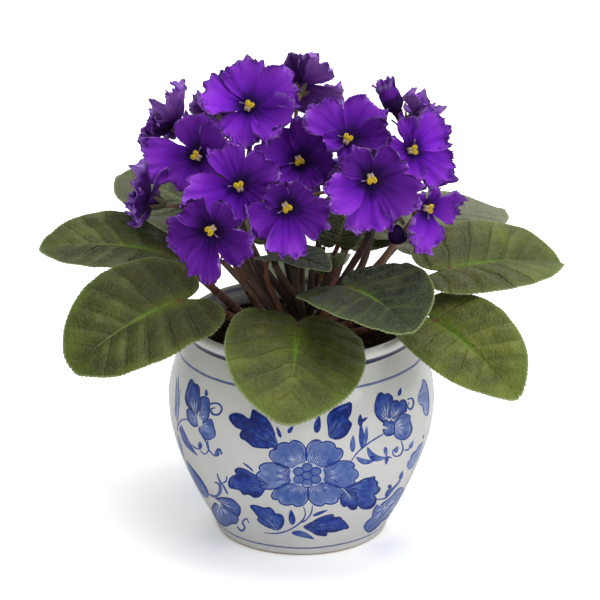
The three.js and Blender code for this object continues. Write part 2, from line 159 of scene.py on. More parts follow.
def makePiece(name, layers, channels, nodes):  # layers: material, points and faces
    points = np.concatenate([layer[1] for layer in layers])
    starts = np.cumsum([0] + [len(layer[1]) for layer in layers])
    blocks = [(block + start, place) for place, (layer, start) in enumerate(zip(layers, starts)) for block in layer[2]]
    corners = np.concatenate([block.ravel() for block, place in blocks])
    counts = np.concatenate([np.full(len(block), block.shape[1]) for block, place in blocks])
    places = np.concatenate([np.full(len(block), place) for block, place in blocks])
    mesh = bpy.data.meshes.new(name)
    mesh.vertices.add(len(points))
    mesh.vertices.foreach_set("co", (points[:, :3] * milli).astype(np.float32).ravel())
    mesh.loops.add(len(corners))
    mesh.loops.foreach_set("vertex_index", corners.astype(np.int32))
    mesh.polygons.add(len(counts))
    mesh.polygons.foreach_set("loop_start", (np.cumsum(counts) - counts).astype(np.int32))
    mesh.polygons.foreach_set("material_index", places.astype(np.int32))
    mesh.update(calc_edges=True)
    mesh.shade_smooth()
    for place, channel in enumerate(channels):
        values = np.ascontiguousarray(points[:, 3 + place], np.float32)
        mesh.attributes.new(channel, "FLOAT", "POINT").data.foreach_set("value", values)
    for layer in layers:
        mesh.materials.append(layer[0])
    piece = bpy.data.objects.new(name, mesh)
    bpy.context.scene.collection.objects.link(piece)
    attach(piece, "root")
    if nodes:
        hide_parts(*nodes)
    return piece


# Shader helpers. Those that are given sockets find their node tree by them.


def tint(code):  # a six-digit colour in linear light
    values = np.array([int(code[k:k + 2], 16) / 255 for k in (0, 2, 4)])
    return (*np.where(values <= 0.04045, values / 12.92, ((values + 0.055) / 1.055) ** 2.4).tolist(), 1.0)


def treeOf(values):
    return next(value.id_data for value in values if isinstance(value, bpy.types.NodeSocket))


def addNode(tree, kind, inputs=None, **settings):
    node = tree.nodes.new(kind)
    for key, value in settings.items():
        setattr(node, key, value)
    for key, value in (inputs or {}).items():
        if isinstance(value, bpy.types.NodeSocket):
            tree.links.new(value, node.inputs[key])
        else:
            node.inputs[key].default_value = value
    return node


def calc(operation, *values, clamp=False):
    inputs = dict(enumerate(values))
    return addNode(treeOf(values), "ShaderNodeMath", inputs, operation=operation, use_clamp=clamp).outputs[0]


def times(first, *others):
    for other in others:
        first = calc("MULTIPLY", first, other)
    return first


def plus(first, second):
    return calc("ADD", first, second)


def minus(first, second):
    return calc("SUBTRACT", first, second)


def step(low, high, value):  # the eased step, in nodes
    inputs = {"Value": value, "From Min": low, "From Max": high}
    return addNode(value.id_data, "ShaderNodeMapRange", inputs, interpolation_type="SMOOTHSTEP").outputs[0]


def blend(share, first, second):
    inputs = {0: share, 6: first, 7: second}
    return addNode(treeOf((share, first, second)), "ShaderNodeMix", inputs, data_type="RGBA").outputs[2]


def over(colour, mask, strength, code):  # one more colour, laid on by a mask times a strength
    return blend(times(mask, strength), colour, tint(code))


def ramp(share, *stops):  # stops: place and colour
    node = addNode(share.id_data, "ShaderNodeValToRGB", {0: share})
    for place, (at, code) in enumerate(stops):
        element = node.color_ramp.elements[place] if place < 2 else node.color_ramp.elements.new(at)
        element.position, element.color = at, tint(code)
    return node.outputs[0]


def channelOf(tree, name):
    return addNode(tree, "ShaderNodeAttribute", attribute_name=name).outputs["Fac"]


def objectPlace(tree):
    return addNode(tree, "ShaderNodeTexCoord").outputs["Object"]


def newMaterial(name, **constants):
    material = bpy.data.materials.new(name)
    material.use_nodes = True
    shader = material.node_tree.nodes["Principled BSDF"]
    for key, value in constants.items():
        shader.inputs[key.replace("_", " ")].default_value = value
    return material, material.node_tree, shader


def feed(shader, **sockets):
    for key, socket in sockets.items():
        shader.id_data.links.new(socket, shader.inputs[key.replace("_", " ")])


def newGroup(name, inputs, outputs):
    group = bpy.data.node_groups.new(name, "ShaderNodeTree")
    for label, value in inputs.items():
        group.interface.new_socket(label, in_out="INPUT", socket_type="NodeSocketFloat").default_value = value
    for label, kind in outputs.items():
        group.interface.new_socket(label, in_out="OUTPUT", socket_type=kind)
    return group, group.nodes.new("NodeGroupInput").outputs, group.nodes.new("NodeGroupOutput").inputs


def useGroup(tree, group, **inputs):
    return addNode(tree, "ShaderNodeGroup", inputs, node_tree=group).outputs


def noiseOf(group, size, detail):  # noise whose patches have that size in millimetres, as a value round 0.5
    inputs = {"Vector": objectPlace(group), "Scale": calc("DIVIDE", 1 / milli, size), "Detail": detail}
    return addNode(group, "ShaderNodeTexNoise", inputs).outputs[0]


def buildMottle():  # broad patches and fine grain
    kinds = {"Broad": "NodeSocketFloat", "Fine": "NodeSocketFloat"}
    group, given, out = newGroup("mottle", {"Patch": 20.0, "Grain": 2.0}, kinds)
    for label, size, detail in (("Broad", "Patch", 3.0), ("Fine", "Grain", 4.0)):
        group.links.new(noiseOf(group, given[size], detail), out[label])
    return group


def buildRelief():  # a bumped normal from a height and from fine grain, both in millimetres
    inputs = {"Height": 0.0, "Grain": 1.0, "GrainDepth": 0.05, "Strength": 1.0}
    group, given, out = newGroup("relief", inputs, {"Normal": "NodeSocketVector"})
    grain = times(noiseOf(group, given["Grain"], 3.0), given["GrainDepth"])
    height = times(plus(grain, given["Height"]), milli)
    bump = addNode(group, "ShaderNodeBump", {"Height": height, "Strength": given["Strength"], "Distance": 1.0})
    group.links.new(bump.outputs[0], out["Normal"])
    return group


mottle, relief = buildMottle(), buildRelief()


def patches(tree, patch, grain):
    spots = useGroup(tree, mottle, Patch=patch, Grain=grain)
    return spots["Broad"], spots["Fine"]


def emboss(shader, height, grain, depth, strength=1.0):
    bumped = useGroup(shader.id_data, relief, Height=height, Grain=grain, GrainDepth=depth, Strength=strength)
    feed(shader, Normal=bumped["Normal"])


print("helpers and shared shader groups ready")

# The camera stands where the picture was taken from, and the studio is a white sweep under wide soft lights, each
# with its place in metres, its size and its power. The floor is overexposed, and more so away from the pot.
studio = {
    "target": (-0.8, 0.0, 125.0), "distance": 1500.0, "lift": 20.0, "lens": 173.08, "pixelsPerUnit": 2884.6,
    "sensor": 36.0, "picture": 600, "near": 0.05, "far": 50.0, "floorSize": 9000.0, "airShown": 1.0, "airLight": 0.42,
    "paperGain": 1.86, "paperLift": 0.4, "liftFrom": 0.065, "liftTo": 0.115,
    "lamps": {
        "key": ((0.34, -0.2, 1.5), 1.3, 8.8), "fill": ((1.15, -1.15, 0.9), 1.2, 5.8),
        "rim": ((0.3, 1.1, 1.0), 0.9, 2.5),
    },
}


def aim(thing, place, target):
    thing.location = place
    thing.rotation_euler = (target - Vector(place)).to_track_quat("-Z", "Y").to_euler()
    bpy.context.scene.collection.objects.link(thing)


def paperMaterial(plan):
    material, tree, shader = newMaterial("paper", Roughness=0.9, Specular_IOR_Level=0.1)
    patch = patches(tree, 400.0, 8.0)[0]
    feed(shader, Base_Color=ramp(patch, (0.3, "f6f6f6"), (0.7, "fafafa")))
    away = addNode(tree, "ShaderNodeVectorMath", {0: objectPlace(tree)}, operation="LENGTH").outputs["Value"]
    gain = plus(times(step(plan["liftFrom"], plan["liftTo"], away), plan["paperLift"]), plan["paperGain"])
    overexposed = addNode(tree, "ShaderNodeBsdfDiffuse", {"Color": gain}).outputs[0]
    shown = addNode(tree, "ShaderNodeLightPath").outputs["Is Camera Ray"]
    mixed = addNode(tree, "ShaderNodeMixShader", {0: shown, 1: shader.outputs[0], 2: overexposed})
    tree.links.new(mixed.outputs[0], tree.nodes["Material Output"].inputs["Surface"])
    return material


def buildStudio(plan):
    scene = bpy.context.scene
    scene.view_settings.view_transform, scene.view_settings.look = "Standard", "None"
    scene.view_settings.exposure, scene.view_settings.gamma = 0.0, 1.0
    target = Vector(plan["target"]) * milli
    camera = bpy.data.objects.new("camera", bpy.data.cameras.new("camera"))
    camera.data.lens, camera.data.sensor_width = plan["lens"], plan["sensor"]
    camera.data.clip_start, camera.data.clip_end = plan["near"], plan["far"]
    aim(camera, target + Vector(heading(270, plan["lift"])) * plan["distance"] * milli, target)
    scene.camera = camera
    world = bpy.data.worlds.new("studioAir")
    world.use_nodes = True
    air = world.node_tree
    shown = addNode(air, "ShaderNodeLightPath").outputs["Is Camera Ray"]
    levels = {"Value": shown, "To Min": plan["airLight"], "To Max": plan["airShown"]}
    background = air.nodes["Background"]
    background.inputs["Color"].default_value = (1.0, 1.0, 1.0, 1.0)
    feed(background, Strength=addNode(air, "ShaderNodeMapRange", levels).outputs[0])
    scene.world = world
    for name, (place, size, power) in plan["lamps"].items():
        lamp = bpy.data.objects.new(name, bpy.data.lights.new(name, "AREA"))
        lamp.data.shape, lamp.data.size, lamp.data.energy = "DISK", size, power
        aim(lamp, place, target)
    half = plan["floorSize"] / 2 * milli
    mesh = bpy.data.meshes.new("floor")
    mesh.from_pydata([(-half, -half, 0), (half, -half, 0), (half, half, 0), (-half, half, 0)], [], [(0, 1, 2, 3)])
    mesh.materials.append(paperMaterial(plan))
    floor = bpy.data.objects.new("floor", mesh)
    scene.collection.objects.link(floor)


buildStudio(studio)
print("camera, lights and floor ready")

# The pot. Its wall is a profile of radius and height turned round the upright axis.
pot = {
    "sides": 200, "middle": 0.5, "under": 20, "recess": (36, 2), "recessFoot": (36.8, 0.5), "footInner": (38, 0),
    "footUnder": (41, 0), "footOuter": (43.5, 0),
    "waist": (46.2, 4), "footHandles": ((45.2, 0), (45.8, 2)),
    "belly": (69.8, 72), "waistHandles": ((57.5, 26), (69.8, 48)),
    "neck": (59.2, 109.5), "bellyHandles": ((69.8, 84), (66.5, 96)),
    "lipFoot": (59.2, 110.5), "rim": (58.8, 116.5), "lipHandles": ((61.6, 111), (62.3, 116.5)),
    "mouth": (56.2, 109.5), "rimHandles": ((57, 116.5), (56.4, 114.5)),
    "inside": (64.6, 72), "mouthHandles": ((60.2, 100), (64.6, 86)),
    "heel": (43.5, 11), "insideHandles": ((64.6, 50), (53, 28)), "floor": (38.5, 7),
    "unevenness": 0.12,
}
# lines: the height, the half width at which the ink ends and is full, and its strength. bare: where the clay
# shows, up to a height and out from a radius
glaze = {
    "white": ((0.3, "e7e7e6"), (0.65, "f1f0ed")), "ink": ((0.3, "2c4598"), (0.75, "5268b0")), "navy": "161d52",
    "lines": ((99.3, 0.715, 0.44, 0.85), (5.0, 0.715, 0.44, 0.9)), "neckLine": (109.9, 1.5, 1.0, 1.0),
    "rimBlue": "2b3a78", "rimStrength": 0.9, "wobble": 1.2, "patch": 26.0, "grain": 3.0, "coat": 0.6,
    "bare": ((1.1, 0.4), (36.5, 37.2)), "clay": ((0.3, "9b8468"), (0.7, "b7a184")),
}


def potWall(plan):  # outside from the foot to the rim, then inside from the rim to the floor
    outside = np.concatenate([
        bezier(plan["footOuter"], *plan["footHandles"], plan["waist"], 6),
        bezier(plan["waist"], *plan["waistHandles"], plan["belly"], 40)[1:],
        bezier(plan["belly"], *plan["bellyHandles"], plan["neck"], 24)[1:],
        bezier(plan["lipFoot"], *plan["lipHandles"], plan["rim"], 10),
    ])
    inside = np.concatenate([
        bezier(plan["rim"], *plan["rimHandles"], plan["mouth"], 8),
        bezier(plan["mouth"], *plan["mouthHandles"], plan["inside"], 14)[1:],
        bezier(plan["inside"], *plan["insideHandles"], plan["heel"], 16)[1:],
    ])
    return outside, inside


potOutside, potInside = potWall(pot)


def turned(profile, sides):  # the profile's points carried round the upright axis, clockwise seen from above
    turn = np.linspace(0, -2 * np.pi, sides, endpoint=False)[None, :]
    radius, height = profile[:, :1], profile[:, 1:2]
    return np.stack([radius * np.cos(turn), radius * np.sin(turn), height + 0 * turn], axis=-1)


def thrown(points):  # the slight unevenness of a wall thrown by hand: the radius wanders a tenth of a millimetre or so
    radius = np.hypot(points[..., 0], points[..., 1])
    around = points[..., :2] / np.maximum(radius, 1e-6)[..., None]
    height = points[..., 2]
    shift = pot["unevenness"] * wander(4, 1.5, around[..., 0], around[..., 1], height / 18) * soft(2, 8, height)
    moved = points.copy()
    moved[..., :2] += around * shift[..., None]
    return moved


def glazeMaterial(plan):
    # white, with ink wherever the height is within a line's width of it, and bare clay low on the foot ring
    material, tree, shader = newMaterial(
        "blueWhiteGlaze", IOR=1.5, Coat_Weight=plan["coat"], Coat_Roughness=0.04, Specular_IOR_Level=0.5)
    broad, fine = patches(tree, plan["patch"], plan["grain"])
    colour = ramp(broad, *plan["white"])
    axes = addNode(tree, "ShaderNodeSeparateXYZ", {0: objectPlace(tree)}).outputs
    height = plus(axes[2], times(minus(broad, 0.5), plan["wobble"] * milli))
    outer = step(0.4, 0.6, channelOf(tree, "outer"))
    ink = ramp(fine, *plan["ink"])
    for line, blue in [(line, ink) for line in plan["lines"]] + [(plan["neckLine"], tint(plan["navy"]))]:
        level, end, full, strength = line
        off = calc("ABSOLUTE", minus(height, level * milli))
        colour = blend(times(step(end * milli, full * milli, off), outer, strength), colour, blue)
    colour = over(colour, channelOf(tree, "rimLine"), plan["rimStrength"], plan["rimBlue"])
    (top, low), (inner, out) = np.array(plan["bare"]) * milli
    bare = times(step(top, low, height), step(inner, out, channelOf(tree, "radius")))
    colour = blend(bare, colour, ramp(fine, *plan["clay"]))
    rough = plus(plus(times(bare, 0.7), times(fine, 0.1)), 0.08)
    feed(shader, Base_Color=colour, Roughness=rough, Coat_Weight=minus(plan["coat"], times(bare, plan["coat"])))
    emboss(shader, times(broad, 0.5), 5.0, 0.035, 0.5)
    return material


def buildPot(plan):
    recessHeight, floorHeight = plan["recess"][1], plan["floor"][1]
    under = np.array([
        (plan["middle"], recessHeight), (plan["under"], recessHeight), plan["recess"], plan["recessFoot"],
        plan["footInner"], plan["footUnder"]])
    closing = np.array([plan["floor"], (plan["under"], floorHeight), (plan["middle"], floorHeight)])
    profile = np.concatenate([under, potOutside, potInside[1:], closing])
    grid = turned(profile, plan["sides"])
    outside = slice(len(under), len(under) + len(potOutside))
    grid[outside] = thrown(grid[outside])
    place, rimAt = np.arange(len(profile))[:, None], outside.stop
    outer = (place <= rimAt - 4) * 1.0
    rimLine = np.exp(-((place - rimAt - 2.5) / 1.2) ** 2)
    grid = withChannels(grid, outer, rimLine, profile[:, :1] * milli)
    layers = [(glazeMaterial(glaze), *loft(grid))]
    makePiece("glazed_pot", layers, ("outer", "rimLine", "radius"), ["pot"])


buildPot(pot)
print("pot ready")

# The painted flowers. Each brush stroke is placed on a sketch of the pot as it is seen from the front,
# 5.058 sketch units to the picture's pixel, and carried along the line of sight on to the glaze.
sketch = {
    "corner": (150.0, 330.0), "scale": 5.058, "proud": 0.05, "step": 0.02, "stagger": 0.0004, "depth": 0.12,
    "evenFrom": 0.87, "startHeight": 60.0, "rounds": 14, "heights": (3, 108),
    "blues": ((0.0, "d3ddf6"), (0.25, "9db2e8"), (0.5, "6c84c4"), (0.72, "4565b8"), (0.9, "1442ae"), (1.0, "06257e")),
}
bloom = {
    "centre": (795, 735), "reach": 258, "start": 0.3, "squash": 0.735, "shorter": 0.12, "petals": 6, "scallops": 4,
}
# base, tip, width to the left and to the right of the way to the tip, bow, lobes, tone
brushLeaves = [
    ((842, 522), (856, 432), 17, 19, 0, 0, 0.9), ((662, 545), (640, 488), 9, 9, 0, 0, 0.9),
    ((698, 522), (724, 486), 11, 11, 0, 0, 0.9), ((1072, 600), (1066, 470), 16, 13, 0, 0, 0.85),
    ((1074, 596), (1096, 484), 10, 14, -8, 0, 0.7), ((1066, 490), (1064, 424), 12, 14, 0, 0, 0.98),
    ((1068, 466), (1102, 440), 8, 8, 0, 0, 0.98), ((1024, 618), (1028, 530), 13, 14, 0, 0, 0.68),
    ((1098, 592), (1204, 640), 22, 15, -30, 0, 0.72), ((1190, 590), (1196, 640), 12, 9, 0, 0, 0.7),
    ((1042, 642), (1142, 656), 18, 10, -14, 0, 0.7), ((1112, 640), (1146, 658), 12, 12, 0, 0, 0.8),
    ((1200, 636), (1192, 682), 10, 10, 0, 0, 0.75), ((1238, 622), (1254, 586), 10, 10, 0, 0, 0.7),
    ((1192, 846), (1226, 790), 10, 12, 0, 0, 0.8), ((1206, 800), (1222, 782), 9, 9, 0, 0, 0.9),
    ((1264, 758), (1280, 712), 9, 9, 0, 0, 0.7), ((722, 986), (712, 908), 17, 17, 0, 0, 0.85),
    ((716, 1024), (832, 1058), 14, 16, 6, 0, 0.8), ((822, 940), (900, 910), 8, 8, 0, 0, 0.85),
    ((142, 492), (186, 570), 10, 11, 0, 0, 0.66), ((150, 478), (238, 634), 16, 15, -14, 0, 0.78),
    ((295, 850), (174, 656), 28, 26, 8, 0, 0.76), ((128, 462), (126, 224), 13, 11, 0, 0, 0.36),
    ((126, 530), (158, 656), 9, 10, 0, 0, 0.36), ((1306, 706), (1394, 560), 24, 26, 0, 3, 0.45),
    ((1388, 552), (1394, 524), 5, 5, 0, 0, 0.6), ((1258, 334), (1270, 292), 9, 9, 0, 0, 0.95),
    ((284, 336), (284, 300), 9, 9, 0, 0, 0.8), ((336, 640), (344, 598), 12, 12, 0, 0, 0.72),
    ((254, 598), (252, 564), 11, 11, 0, 0, 0.85), ((1312, 600), (1332, 558), 9, 9, 0, 0, 0.6),
]
# where the rays meet, the tone at the rim and at the rays, the number of rays, and the outline
brushFans = [
    ((652, 590), 0.98, 0.8, 5, (
        (632, 530), (616, 490), (592, 452), (554, 424), (520, 404), (514, 424), (506, 450), (494, 449),
        (467, 430), (430, 422), (401, 436), (410, 462), (436, 490), (466, 506), (456, 526), (461, 545),
        (482, 556), (500, 570), (522, 588), (562, 595), (604, 597),
    )),
    ((905, 546), 1.0, 0.72, 5, (
        (904, 500), (898, 462), (902, 432), (928, 402), (960, 386), (990, 375), (1014, 367), (1019, 392),
        (1013, 426), (1000, 452), (1019, 474), (1009, 502), (992, 529), (965, 547), (932, 553),
    )),
    ((598, 780), 0.92, 0.7, 5, (
        (560, 755), (520, 728), (476, 704), (447, 698), (430, 710), (438, 731), (418, 740), (402, 755),
        (397, 776), (404, 797), (430, 803), (455, 811), (472, 831), (500, 831), (530, 847), (557, 839),
        (573, 818), (584, 798),
    )),
    ((640, 1016), 0.85, 0.62, 4, (
        (610, 1002), (581, 989), (556, 972), (543, 956), (551, 951), (532, 924), (516, 904), (507, 890),
        (532, 888), (557, 895), (581, 902), (601, 898), (621, 911), (634, 930), (652, 931), (669, 942),
        (677, 962), (671, 989), (655, 1008),
    )),
    ((772, 996), 0.88, 0.7, 6, (
        (811, 984), (832, 964), (872, 946), (896, 938), (926, 935), (929, 948), (961, 947), (973, 960),
        (987, 972), (1003, 999), (977, 1006), (933, 1019), (894, 1023), (892, 1038), (864, 1038),
        (836, 1031), (811, 1011),
    )),
    ((978, 798), 0.86, 0.66, 5, (
        (1018, 790), (1050, 774), (1083, 754), (1111, 748), (1138, 743), (1136, 758), (1152, 770),
        (1149, 788), (1164, 803), (1148, 827), (1134, 836), (1144, 852), (1136, 883), (1115, 901),
        (1091, 905), (1068, 900), (1052, 880), (1050, 850), (1038, 820),
    )),
    ((986, 806), 0.8, 0.18, 3, (
        (1034, 822), (1046, 852), (1050, 884), (1040, 904), (1022, 908), (1006, 898), (998, 888),
        (983, 893), (968, 880), (965, 856), (972, 828),
    )),
    ((1199, 458), 0.84, 0.0, 7, (
        (1180, 468), (1154, 445), (1140, 416), (1138, 385), (1143, 357), (1149, 337), (1158, 322),
        (1172, 318), (1184, 328), (1202, 322), (1217, 329), (1226, 342), (1228, 358), (1216, 388),
        (1207, 420),
    )),
    ((1217, 456), 0.8, 0.0, 7, (
        (1204, 444), (1213, 400), (1219, 376), (1234, 360), (1251, 357), (1262, 366), (1272, 356),
        (1286, 354), (1296, 366), (1297, 388), (1296, 410), (1272, 420), (1253, 433), (1234, 450),
    )),
    ((1234, 488), 0.6, 0.0, 7, (
        (1234, 466), (1253, 445), (1278, 423), (1300, 428), (1316, 434), (1314, 452), (1320, 474),
        (1325, 496), (1320, 519), (1305, 541), (1285, 554), (1264, 553), (1244, 543), (1234, 524),
    )),
    ((1208, 498), 0.68, 0.5, 3, (
        (1181, 486), (1185, 464), (1196, 455), (1210, 466), (1222, 460), (1234, 475), (1237, 502),
        (1233, 522), (1213, 533), (1195, 533), (1182, 518), (1180, 500),
    )),
    ((236, 446), 0.86, 0.1, 6, (
        (212, 400), (192, 385), (179, 350), (181, 318), (191, 285), (200, 260), (209, 249), (217, 260),
        (224, 273), (237, 276), (247, 292), (249, 320), (252, 356), (250, 400),
    )),
    ((252, 446), 0.76, 0.1, 5, (
        (252, 410), (254, 366), (260, 340), (276, 338), (292, 346), (300, 366), (299, 400), (298, 430),
        (290, 452), (272, 466),
    )),
    ((244, 458), 0.66, 0.2, 3, (
        (226, 430), (204, 400), (189, 402), (189, 430), (197, 458), (211, 478), (230, 489), (243, 481),
    )),
    ((264, 480), 0.62, 0.16, 5, (
        (266, 468), (286, 458), (306, 451), (318, 470), (323, 495), (330, 518), (326, 540), (310, 549),
        (295, 555), (278, 549), (262, 530), (250, 508), (250, 490),
    )),
    ((352, 872), 0.8, 0.1, 7, (
        (330, 852), (358, 848), (388, 850), (412, 856), (437, 876), (455, 900), (455, 926), (446, 942),
        (424, 928), (396, 908), (372, 890),
    )),
    ((350, 884), 0.64, 0.12, 6, (
        (330, 872), (315, 896), (317, 922), (329, 953), (354, 977), (379, 991), (396, 988), (411, 979),
        (437, 977), (446, 952), (420, 926), (390, 904),
    )),
    ((1180, 902), 0.56, 0.1, 5, (
        (1166, 886), (1192, 866), (1224, 842), (1246, 815), (1269, 798), (1289, 806), (1281, 836),
        (1262, 870), (1240, 912), (1212, 924),
    )),
    ((1184, 898), 0.6, 0.12, 6, (
        (1150, 883), (1130, 915), (1122, 948), (1098, 968), (1082, 997), (1103, 1022), (1126, 1012),
        (1149, 992), (1170, 968), (1198, 950), (1216, 930),
    )),
    ((1352, 350), 0.42, 0.3, 4, (
        (1366, 308), (1386, 296), (1391, 252), (1408, 258), (1424, 285), (1432, 340), (1428, 400),
        (1412, 434), (1392, 420), (1386, 382), (1364, 374),
    )),
]
# the brush's way, its half width, and the tone
brushLines = [
    ([(1018, 662), (1052, 616), (1112, 568), (1180, 526)], 3.6, 0.85),
    ([(1302, 352), (1326, 346), (1334, 376), (1318, 402), (1303, 386), (1312, 366)], 5, 0.85),
    ([(1268, 556), (1279, 600), (1262, 634), (1234, 636), (1227, 612), (1246, 594)], 4, 0.8),
    ([(1284, 606), (1300, 607), (1312, 600)], 4, 0.7), ([(1196, 640), (1222, 646)], 4, 0.8),
    ([(290, 384), (322, 370), (352, 378), (363, 402), (344, 428), (316, 424), (308, 400), (330, 394)], 4.5, 0.85),
    ([(124, 512), (140, 472), (168, 452), (206, 456)], 4, 0.72), ([(206, 600), (238, 634)], 4, 0.75),
    ([(292, 560), (296, 592), (292, 616), (276, 628), (260, 616), (250, 604)], 3.6, 0.75),
    ([(250, 510), (268, 540), (284, 566), (294, 598), (316, 628), (336, 638), (352, 630)], 4, 0.8),
    ([(340, 600), (352, 604), (364, 630)], 5, 0.85), ([(210, 580), (236, 600), (262, 598)], 3.5, 0.75),
    ([(338, 726), (350, 760), (372, 792), (392, 830)], 4.5, 0.8),
    ([(300, 832), (330, 842), (352, 822), (350, 782), (326, 770)], 7, 0.62),
    ([(360, 778), (384, 764), (388, 740)], 4, 0.8),
    ([(440, 992), (464, 1016), (480, 1000), (468, 972), (488, 954), (500, 976)], 5, 0.8),
    ([(776, 892), (786, 930), (770, 964), (702, 1012), (642, 1028), (578, 1026)], 3.8, 0.88),
    ([(822, 886), (816, 924), (792, 958), (766, 974)], 3.6, 0.88),
    ([(966, 796), (1010, 800), (1060, 800)], 3, 0.85),
    ([(596, 784), (556, 762), (500, 736), (450, 712)], 3, 1.0),
    ([(470, 672), (496, 690), (522, 714)], 4.5, 0.85),
    ([(1140, 858), (1190, 850), (1228, 806), (1262, 766), (1280, 716)], 4.2, 0.8),
    ([(624, 586), (540, 518), (440, 458)], 3, 1.0), ([(632, 570), (580, 500), (540, 440)], 3, 1.0),
    ([(905, 536), (950, 470), (996, 396)], 3, 1.0), ([(640, 590), (628, 600), (622, 584)], 4, 0.95),
    ([(650, 1014), (610, 960), (540, 910)], 3, 0.9), ([(776, 996), (880, 992), (960, 990)], 3, 0.92),
    ([(974, 798), (1060, 776), (1130, 760)], 3, 0.92), ([(976, 802), (1060, 830), (1136, 862)], 3, 0.95),
    ([(600, 778), (520, 792), (430, 806)], 3, 0.92), ([(112, 240), (116, 340), (112, 440)], 3, 0.5),
    ([(146, 300), (140, 400), (132, 470)], 3, 0.5), ([(1076, 594), (1062, 606)], 3.5, 0.85),
    ([(1318, 640), (1350, 610), (1384, 572)], 3, 0.6), ([(1100, 1012), (1180, 930), (1276, 826)], 3, 0.75),
]
# a sprig for each side of the pot, drawn as if it stood in front
sprigLeaves = [
    ((762, 800), (676, 712), 38, 26, 12, 3, 0.62), ((764, 740), (852, 650), 26, 38, -12, 3, 0.6),
    ((762, 640), (700, 556), 26, 20, 8, 2, 0.72), ((764, 590), (824, 512), 20, 26, -8, 2, 0.7),
    ((762, 520), (756, 430), 16, 16, 0, 0, 0.85), ((756, 930), (680, 868), 22, 14, 8, 2, 0.8),
    ((756, 900), (836, 842), 14, 22, -8, 2, 0.78), ((760, 480), (714, 452), 8, 8, 0, 0, 0.9),
]
sprigLines = [
    ([(790, 1040), (752, 930), (768, 760), (760, 600), (760, 500)], 3.4, 0.85),
    ([(754, 990), (700, 1000), (668, 970), (690, 944), (716, 962)], 3, 0.85),
]


def onPot(points, lift):
    # the line of sight through each sketch point meets a cylinder of the pot's radius there, found in a few rounds.
    # Close to the outline and past it, the way round the pot grows evenly with the distance from the axis instead
    forward, up = -heading(270, studio["lift"]), heading(90, 90 - studio["lift"])
    eye = np.array(studio["target"]) - studio["distance"] * forward
    pixel = (points / sketch["scale"] + np.array(sketch["corner"]) - studio["picture"] / 2) / studio["pixelsPerUnit"]
    way = forward + pixel[..., :1] * np.array([1.0, 0.0, 0.0]) - pixel[..., 1:] * up
    height = np.full(points.shape[:-1], sketch["startHeight"])
    pace = np.hypot(way[..., 0], way[..., 1])
    aside = (eye[0] * way[..., 1] - eye[1] * way[..., 0]) / pace
    even = sketch["evenFrom"]
    wallHeight, wallRadius = potOutside[:, 1], potOutside[:, 0]
    for _ in range(sketch["rounds"]):
        radius = np.interp(height, wallHeight, wallRadius)
        off = aside / radius
        past = np.maximum(np.abs(off) - even, 0) / np.sqrt(1 - even ** 2)
        swung = np.arcsin(np.clip(off, -even, even)) + np.sign(off) * past
        reach = -(way[..., 0] * eye[0] + way[..., 1] * eye[1]) / pace ** 2 - radius * np.cos(swung) / pace
        height = np.clip(eye[2] + reach * way[..., 2], *sketch["heights"])
    slope = np.interp(height, wallHeight, np.gradient(wallRadius) / np.maximum(np.gradient(wallHeight), 1e-3))
    turn = np.arctan2(way[..., 1], way[..., 0]) + np.pi + swung
    radius = np.interp(height, wallHeight, wallRadius)
    normal = unit(np.stack([np.cos(turn), np.sin(turn), -slope], -1))
    return np.stack([radius * np.cos(turn), radius * np.sin(turn), height], -1) + lift * normal


def brushLeaf(base, tip, left, right, bow, lobes, tone):
    # a bowed line from base to tip, with a rounded width on each side of it that dips between the lobes
    t, s = np.linspace(0.0, 1.0, 16)[:, None], np.linspace(-1, 1, 7)[None, :]
    base, tip = np.array(base, float), np.array(tip, float)
    side = unit(np.array([tip[1] - base[1], base[0] - tip[0]]))
    width = np.where(s < 0, left, right) * np.maximum(np.sin(np.pi * t ** 0.72), 0.004) ** 0.75
    if lobes:
        width = width * (1 - 0.38 * (1 - np.abs(np.sin(np.pi * lobes * t ** 0.9))) ** 1.5 * soft(0.1, 0.3, t))
    spine = base + t[..., None] * (tip - base) + side * (bow * 4 * t * (1 - t))[..., None]
    edge = 0.22 * soft(0.72, 1, np.abs(s)) - 0.16 * soft(0.2, 0.0, np.abs(np.abs(s) - 0.45)) * soft(0.1, 0.5, t)
    shade = tone + edge * (0.4 + 0.6 * tone) - 0.14 * wander(int(base[0]), 2.5, t * 3, s)
    return spine + side * (s * width)[..., None], shade


def brushFan(base, tone, heart, rays, outline):
    # the outline's points joined to the place where the rays meet, paler towards it, with dark rays and a dark stroke
    base, path = np.array(base, float), smoothCurve(outline, 4 * len(outline))
    t, along = np.linspace(0.03, 1, 8)[:, None], np.linspace(0, 5, len(path))[None, :]
    wash = heart + (tone - heart) * soft(0.22, 0.72, t) + 0.12 * wander(int(base[0]), 2.5, t * 3, along)
    lines = [(path, 3.4, min(tone + 0.3, 1.0))]
    for ray in range(rays):
        end = path[int((ray + 0.5) / rays * (len(path) - 1))]
        part = np.linspace(0.14, 0.62 + 0.1 * np.cos(5 * ray), 4)[:, None]
        lines.append((base + part * (end - base), 2.1, min(tone + 0.18, 1.0)))
    return (base + t[..., None] * (path - base), wash), lines


def ribbon(path, width):  # a strip on both sides of a way, three points across
    along = unit(np.gradient(path, axis=0))
    side = np.stack([along[:, 1], -along[:, 0]], -1)
    return path[:, None] + side[:, None] * (np.linspace(-1, 1, 3)[None, :] * width)[..., None]


def brushLine(points, half, tone):
    # a ribbon along a smooth way, thin at its ends, drawn with a wavering hand
    path = smoothCurve(points, 5 * len(points) + 4)
    t = np.linspace(0, 1, len(path))[:, None]
    width = half * (0.35 + 0.65 * np.sin(np.pi * (0.06 + 0.88 * t)) ** 0.6) * (1 + 0.2 * wander(len(points), 6, t))
    return ribbon(path, width), np.full((len(path), 3), tone)


